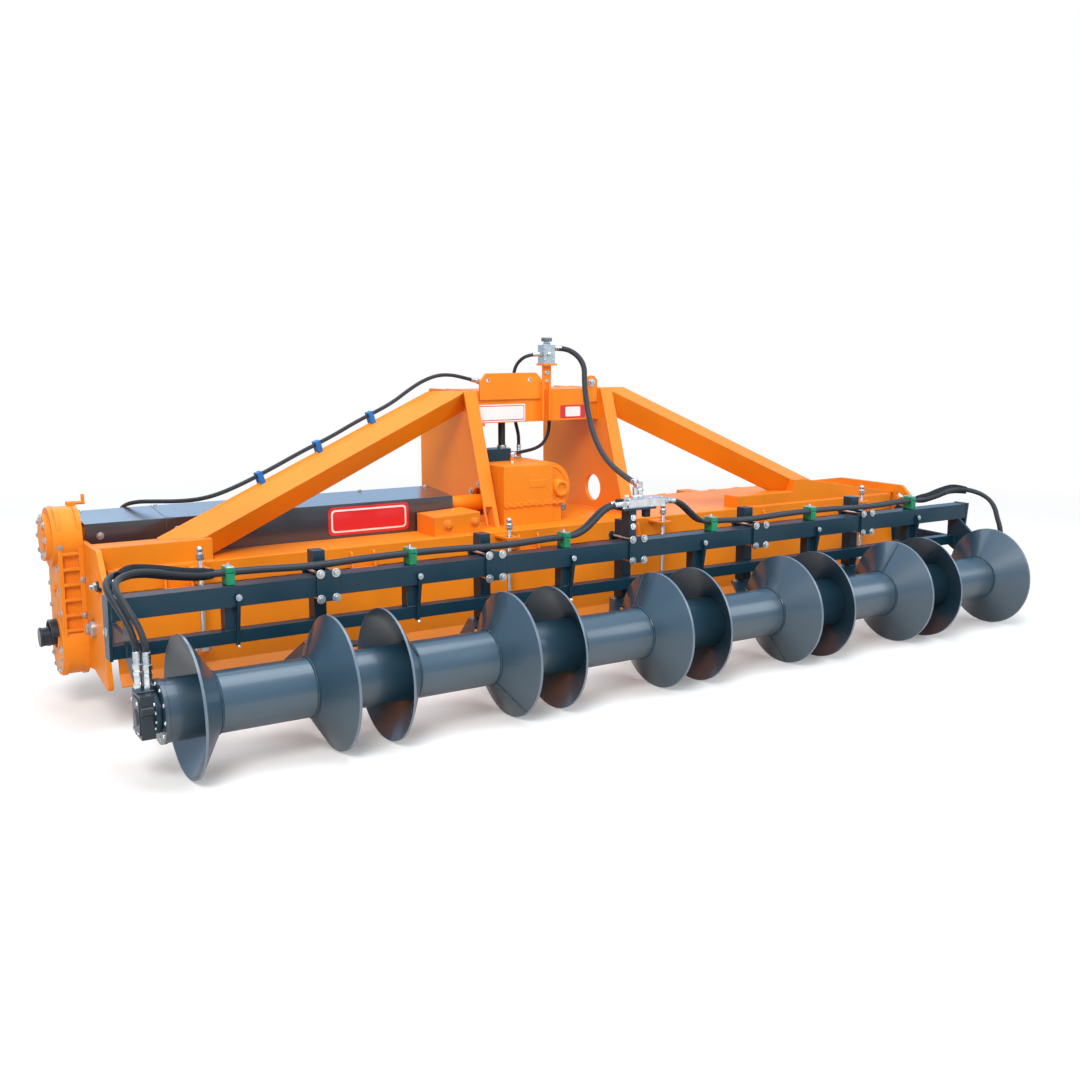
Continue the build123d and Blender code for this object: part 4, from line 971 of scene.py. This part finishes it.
bolts = Piece("mast_bolts")
eyelet = ((0.0082, -0.0006), (0.0115, -0.0006), (0.0115, 0.0012), (0.0082, 0.0012), (0.0082, -0.0006))
for x in (-0.30, -0.06):
    bolts.turned(eyelet, facing((x, head_y - 0.0121, 1.300), REAR), 20)
bolts.bolt((0.321, head_y - 0.012, 1.280), REAR, 0.022)
for z in (1.33, 1.285):
    bolts.bolt(behind(0.095, 1.193, z), REAR, 0.014)
cross_shaft = Vector((0, rotor.y, 0.715))
for k in range(6):
    bolts.bolt(around(-0.395, cross_shaft, 0.088, 60 * k + 30), LEFT, 0.017)
bolts.bolt((-0.600, rotor.y - 0.12, 0.690), REAR, 0.018)
bolts.bolt((-0.728, rotor.y - 0.066, 0.630), REAR, 0.017)
bolts.done("chassis", zinc, "zinc")
feet = Piece("foot_box_caps")
for x, z, wide in ((-0.705, 0.658, 0.022), (-0.565, 0.662, 0.018)):
    outline = ((0.0003, 0.0), (wide * 0.7, 0), (wide * 0.62, 0.006), (wide * 0.3, 0.008), (0.0003, 0.008))
    feet.turned(outline, facing((x, hood_rear + 0.0325, z), REAR), 24)
feet.done("chassis", weld_orange, "orange_paint")

# Struts: rectangular tubes set on their corners, from the mast's head down to the hood. Their corners are
# rolled, so the light runs along each ridge, and paler paint along each ridge adds a painted highlight.
# a wide painted highlight along each rolled corner
tube_paint = paint("orange_tube", orange, 0.36, coat=0.0, edge_highlight=0.5, corner=0.007)
coat(tube_paint, "struts", "hood_members")

# Gearbox: an iron casting in sprayed orange, rough from its mould, with a bolted sump, a cover on its
# change-gear drum, a plated breather and plugs.
# the casting's sharp edges carry a painted highlight
cast = paint("orange_casting", tint(246, 142, 26), 0.42, coat=0.0, sand=0.0012, edge_highlight=0.4)
coat(cast, "gearbox", "drive_case", "rotor_bearing")
bolts = Piece("gearbox_bolts")
gear_rear = rotor.y - 0.15
for k in range(9):
    x = -0.325 + 0.041 * k
    for z, way in ((hood_top + 0.104, UP), (hood_top + 0.088, DOWN)):
        bolts.hexagon(0.013, 0.006, facing((x, gear_rear - 0.002, z), way))
bolts.done("chassis", cast, "orange_paint")
fits = Piece("gearbox_plugs")
breather = ((0.0003, 0), (0.0125, 0), (0.0125, 0.016), (0.010, 0.021), (0.0003, 0.022))
fits.turned(breather, at(-0.215, rotor.y - 0.02, 0.928), 20)
fits.hexagon(0.024, 0.010, at(-0.215, rotor.y - 0.02, 0.8955))
fits.bolt((0.013, gear_rear + 0.02, 0.675), REAR, 0.020)
fits.hexagon(0.024, 0.012, at(-0.05, axle.y + 1.24, 0.895))
fits.hexagon(0.022, 0.012, at(-0.05, axle.y + 1.24, 0.916))
fits.done("chassis", nickel, "zinc")
boss = Piece("gearbox_bosses")
boss.turned(((0.106, 0), (0.114, 0), (0.113, 0.004), (0.107, 0.004), (0.106, 0)),
            facing((-0.05, rotor.y - 0.09, 0.77), REAR), 64)
barrel = (
    (0.0003, 0), (0.044, 0), (0.042, 0.062), (0.037, 0.070), (0.026, 0.070), (0.022, 0.061), (0.0003, 0.061),
)
boss.turned(barrel, facing((-0.010, rotor.y - 0.09, 0.772), REAR), 40)
boss.block((0.11, 0.012, 0.014), at(0.0, rotor.y - 0.0925, 0.79), soften=0.004)
boss.block((0.10, 0.004, 0.036), at(-0.148, gear_rear - 0.0008, 0.803), soften=0.0012)
boss.done("chassis", cast, "orange_paint")

# Side drive: a cast case in orange over the gears from the cross shaft to the rotor, with bolted covers, a
# blank plate, and a dark hub cap with turned rings.
case_out, barrel_out, cover_out = -2.36, -2.366, -2.397
bolts = Piece("case_bolts")
for k in range(8):
    bolts.bolt(around(cover_out, cross_shaft, 0.080, 45 * k), LEFT, 0.016)
for y in (-0.098, 0.103):
    for z in (0.60, 0.51, 0.42):
        bolts.bolt((case_out, rotor.y + y, z), LEFT, 0.015)
for k in range(7):
    bolts.bolt(around(barrel_out, Vector((0, rotor.y, 0.272)), 0.105, 180 + 30 * k), LEFT, 0.015)
for x, z in ((-2.273, 0.405), (-2.273, 0.55), (-2.352, 0.69)):
    bolts.bolt((x, rotor.y - 0.115, z), REAR, 0.014)
bolts.done("chassis", zinc, "zinc")
discs = Piece("case_covers")
discs.turned(disc(0.060, 0.003, 0.055, 0.006), facing((cover_out, rotor.y, 0.715), LEFT), 48)
ring = disc(0.059, 0.003, 0.056, 0.006, hole=0.050)
discs.turned(ring, facing((barrel_out, rotor.y, rotor.z), LEFT), 48)
discs.turned(disc(0.017, 0.008, 0.013, 0.012), facing((case_out, rotor.y, 0.505), LEFT), 24)
discs.block((0.09, 0.05, 0.002), facing((case_out - 0.0005, rotor.y, 0.445), LEFT), corners=0.004)
discs.done("chassis", cast, "orange_paint")
cap_paint = paint("hub_paint", tint(34, 40, 48), 0.4)
coat(cap_paint, "hub_cap")
hub = Piece("hub_rings")
ring = ((0.0375, 0), (0.0405, 0.001), (0.0405, 0.006), (0.0375, 0.007), (0.0375, 0))
for out in (-2.364, -2.395, -2.424):
    hub.turned(ring, facing((out, rotor.y, rotor.z), LEFT), 40)
hub.hexagon(0.030, 0.004, facing((-2.4295, rotor.y, rotor.z), LEFT))
hub.done("chassis", cap_paint, "black_plastic")

# Cover over the cross shaft: folded 4 mm sheet in two lengths, sprayed anthracite, with a lapped joint,
# plated bolts and a blank red plate.
low, high = corners("drive_cover")
cover = paint("anthracite_sheet", tint(32, 38, 48), 0.2, coat=1.0, peel=0.0001, shine=1.0)
sway = cover.cloud(1.6, 2)
cover.feed("Normal", cover.bump(cover.grain, 0.0002, under=cover.bump(sway, 0.006, under=cover.soft)))
coat(cover, "drive_cover")
cover_rear, cover_top = low.y, 0.765
strap = Piece("cover_strap")
slant = atan2(0.022, 0.255)
lap_x = -1.905
lap = at(lap_x, cover_rear - 0.0008, cover_top - 0.0765)
strap.block((0.034, 0.0022, 0.150), lap, soften=0.0006)
lap = at(lap_x, cover_rear + 0.1275, cover_top + 0.0118) @ Matrix.Rotation(slant, 4, "X")
strap.block((0.034, 0.256, 0.0022), lap, soften=0.0006)
strap.done("chassis", cover, "anthracite_paint")
bolts = Piece("cover_bolts")
for x, z in ((-2.187, 0.712), (-1.878, 0.712), (-0.728, 0.632)):
    bolts.bolt((x, cover_rear, z), REAR, 0.016)
for x in (-2.22, -1.905, -1.35, -0.95, -0.6):
    bolts.bolt((x, cover_rear + 0.235, cover_top + 0.0205), (0, -0.086, 1), 0.014)
bolts.done("chassis", zinc, "zinc")
for name, finish, layers in (
    ("badge_red", red_foil, ((0.0012, 0.398, 0.128, 0.022), (0.0032, 0.356, 0.088, 0.014))),
    ("badge_white", white_foil, ((0.0022, 0.372, 0.104, 0.018),)),
):
    badge = Piece(name)
    for proud, wide, tall, corner in layers:
        spot = facing((-1.008, cover_rear - proud / 2, 0.688), REAR)
        badge.block((wide, tall, proud), spot, corners=corner)
    badge.done("chassis", finish, "anthracite_paint")

# Control valve on its post: a plated block with a cartridge, unions and a ribbed black knob. The same steel
# unions end the mast hoses, and an oil block holds the pipe.
coat(zinc, "valve")
low, high = corners("valve")
knob = Piece("valve_knob")
ridge = [(0.0003, 0), (0.0275, 0)]
ridge += [(0.0279 - 0.0012 * (k % 2), 0.002 + 0.002 * k) for k in range(8)]
ridge += [(0.024, 0.0203), (0.0003, 0.0205)]
knob.turned(ridge, at(0.095, axle.y + 1.2, high.z - 0.0202), 32)
knob.done("chassis", black, "black_plastic")
valve = Piece("valve_fittings")
valve.hexagon(0.036, 0.010, at(0.095, axle.y + 1.2, high.z - 0.0385))
for z in (1.395, 1.455):
    for x in (0.068, 0.12):
        valve.bolt((x, axle.y + 1.172, z), REAR, 0.010, washer=False)
valve.turned(disc(0.012, 0.006, 0.008, 0.010), facing(behind(0.095, 1.172, 1.425), REAR), 24)
valve.hexagon(0.022, 0.012, facing(behind(0.128, 1.2, 1.40), RIGHT))
for flats, spot in (
    (0.030, (-0.296, 1.18, 1.2503)), (0.028, (-0.056, 1.278, 1.2503)), (0.028, (-2.05, 1.33, 0.6103)),
):
    valve.hexagon(flats, 0.012, at(*behind(*spot)))
valve.done("chassis", nickel, "zinc")
block = Piece("oil_block_screws")
for x in (-0.30, -0.16):
    for y in (1.16, 1.24):
        block.bolt((x, axle.y + y, 0.957), UP, 0.012, washer=False)
block.turned(disc(0.024, 0.012, 0.021, 0.016, hole=0.0181), at(*behind(-0.175, 1.2, 0.957)), 24)
block.done("chassis", zinc, "zinc")

# Hitch: the lower lugs and the top bracket are welded plates with a turned steel bush round each link hole,
# worn bright as the pins rub them.
bush = Piece("hitch_bushes")
low, high = corners("hitch_lugs")
hitch_y, hitch_z = high.y - 0.045, low.z + 0.045
lower_bush = disc(0.031, 0.002, 0.0295, 0.003, hole=0.0188)
for x in (-0.4825, 0.4825):
    for turn in (-1, 1):
        bush.turned(lower_bush, facing((x + turn * 0.051, hitch_y, hitch_z), (turn, 0, 0)), 32)
top_bush = disc(0.028, 0.002, 0.0265, 0.003, hole=0.0163)
for turn in (-1, 1):
    bush.turned(top_bush, facing(behind(turn * 0.05, 1.6, 1.23), (turn, 0, 0)), 32)
bush.done("chassis", zinc, "zinc")

# Input shaft: a 1 3/4 inch steel end with twenty splines and a collar, plated, under a moulded black guard
# with stiffening rings.
low, high = corners("pto_shaft")
input_z = (low.z + high.z) / 2
splines = Piece("input_splines")
for k in range(20):
    centre = at(0, high.y - 0.052, input_z) @ Matrix.Rotation(radians(18 * k), 4, "Y")
    splines.block((0.0034, 0.084, 0.002), centre @ at(0, 0, 0.0225), soften=0.0005)
ring = ((0.0225, 0), (0.0262, 0.001), (0.0262, 0.008), (0.0225, 0.009), (0.0225, 0))
splines.turned(ring, facing((0, high.y - 0.112, input_z), FRONT), 40)
splines.done("pto", zinc, "zinc")
low, high = corners("pto_guard")
guard = Piece("guard_rings")
ring = ((0.0945, 0), (0.0975, 0.0012), (0.0975, 0.0058), (0.0945, 0.007), (0.0945, 0))
for y in (low.y + 0.004, low.y + 0.07, low.y + 0.13, high.y - 0.008):
    guard.turned(ring, facing((0, y, input_z), FRONT), 48)
guard.done("chassis", black, "black_plastic")

# Parking stands: square steel legs in the hood's orange, each on a plated pin and welded to its foot plate.
# Their brackets on the girder are coated with the hood.
for side, turn in (("left", -1), ("right", 1)):
    low, high = corners(f"stand_leg_{side}")
    x, y = turn * 1.3, low.y + 0.05
    pin = Piece(f"stand_pin_{side}")
    pin.hexagon(0.028, 0.010, facing((x, y + 0.0505, 0.53), FRONT))
    pin.done("chassis", zinc, "zinc")
    feet = Piece(f"stand_welds_{side}")
    for side_y in (y - 0.0305, y + 0.0305):
        ripple(feet, (x - 0.03, side_y, 0.0135), (x + 0.03, side_y, 0.0135))
    for side_x in (x - 0.0305, x + 0.0305):
        ripple(feet, (side_x, y - 0.03, 0.0135), (side_x, y + 0.03, 0.0135))
    feet.done(f"stand_{side}", weld_orange, "orange_paint")

bpy.context.scene.view_settings.view_transform = "Standard"
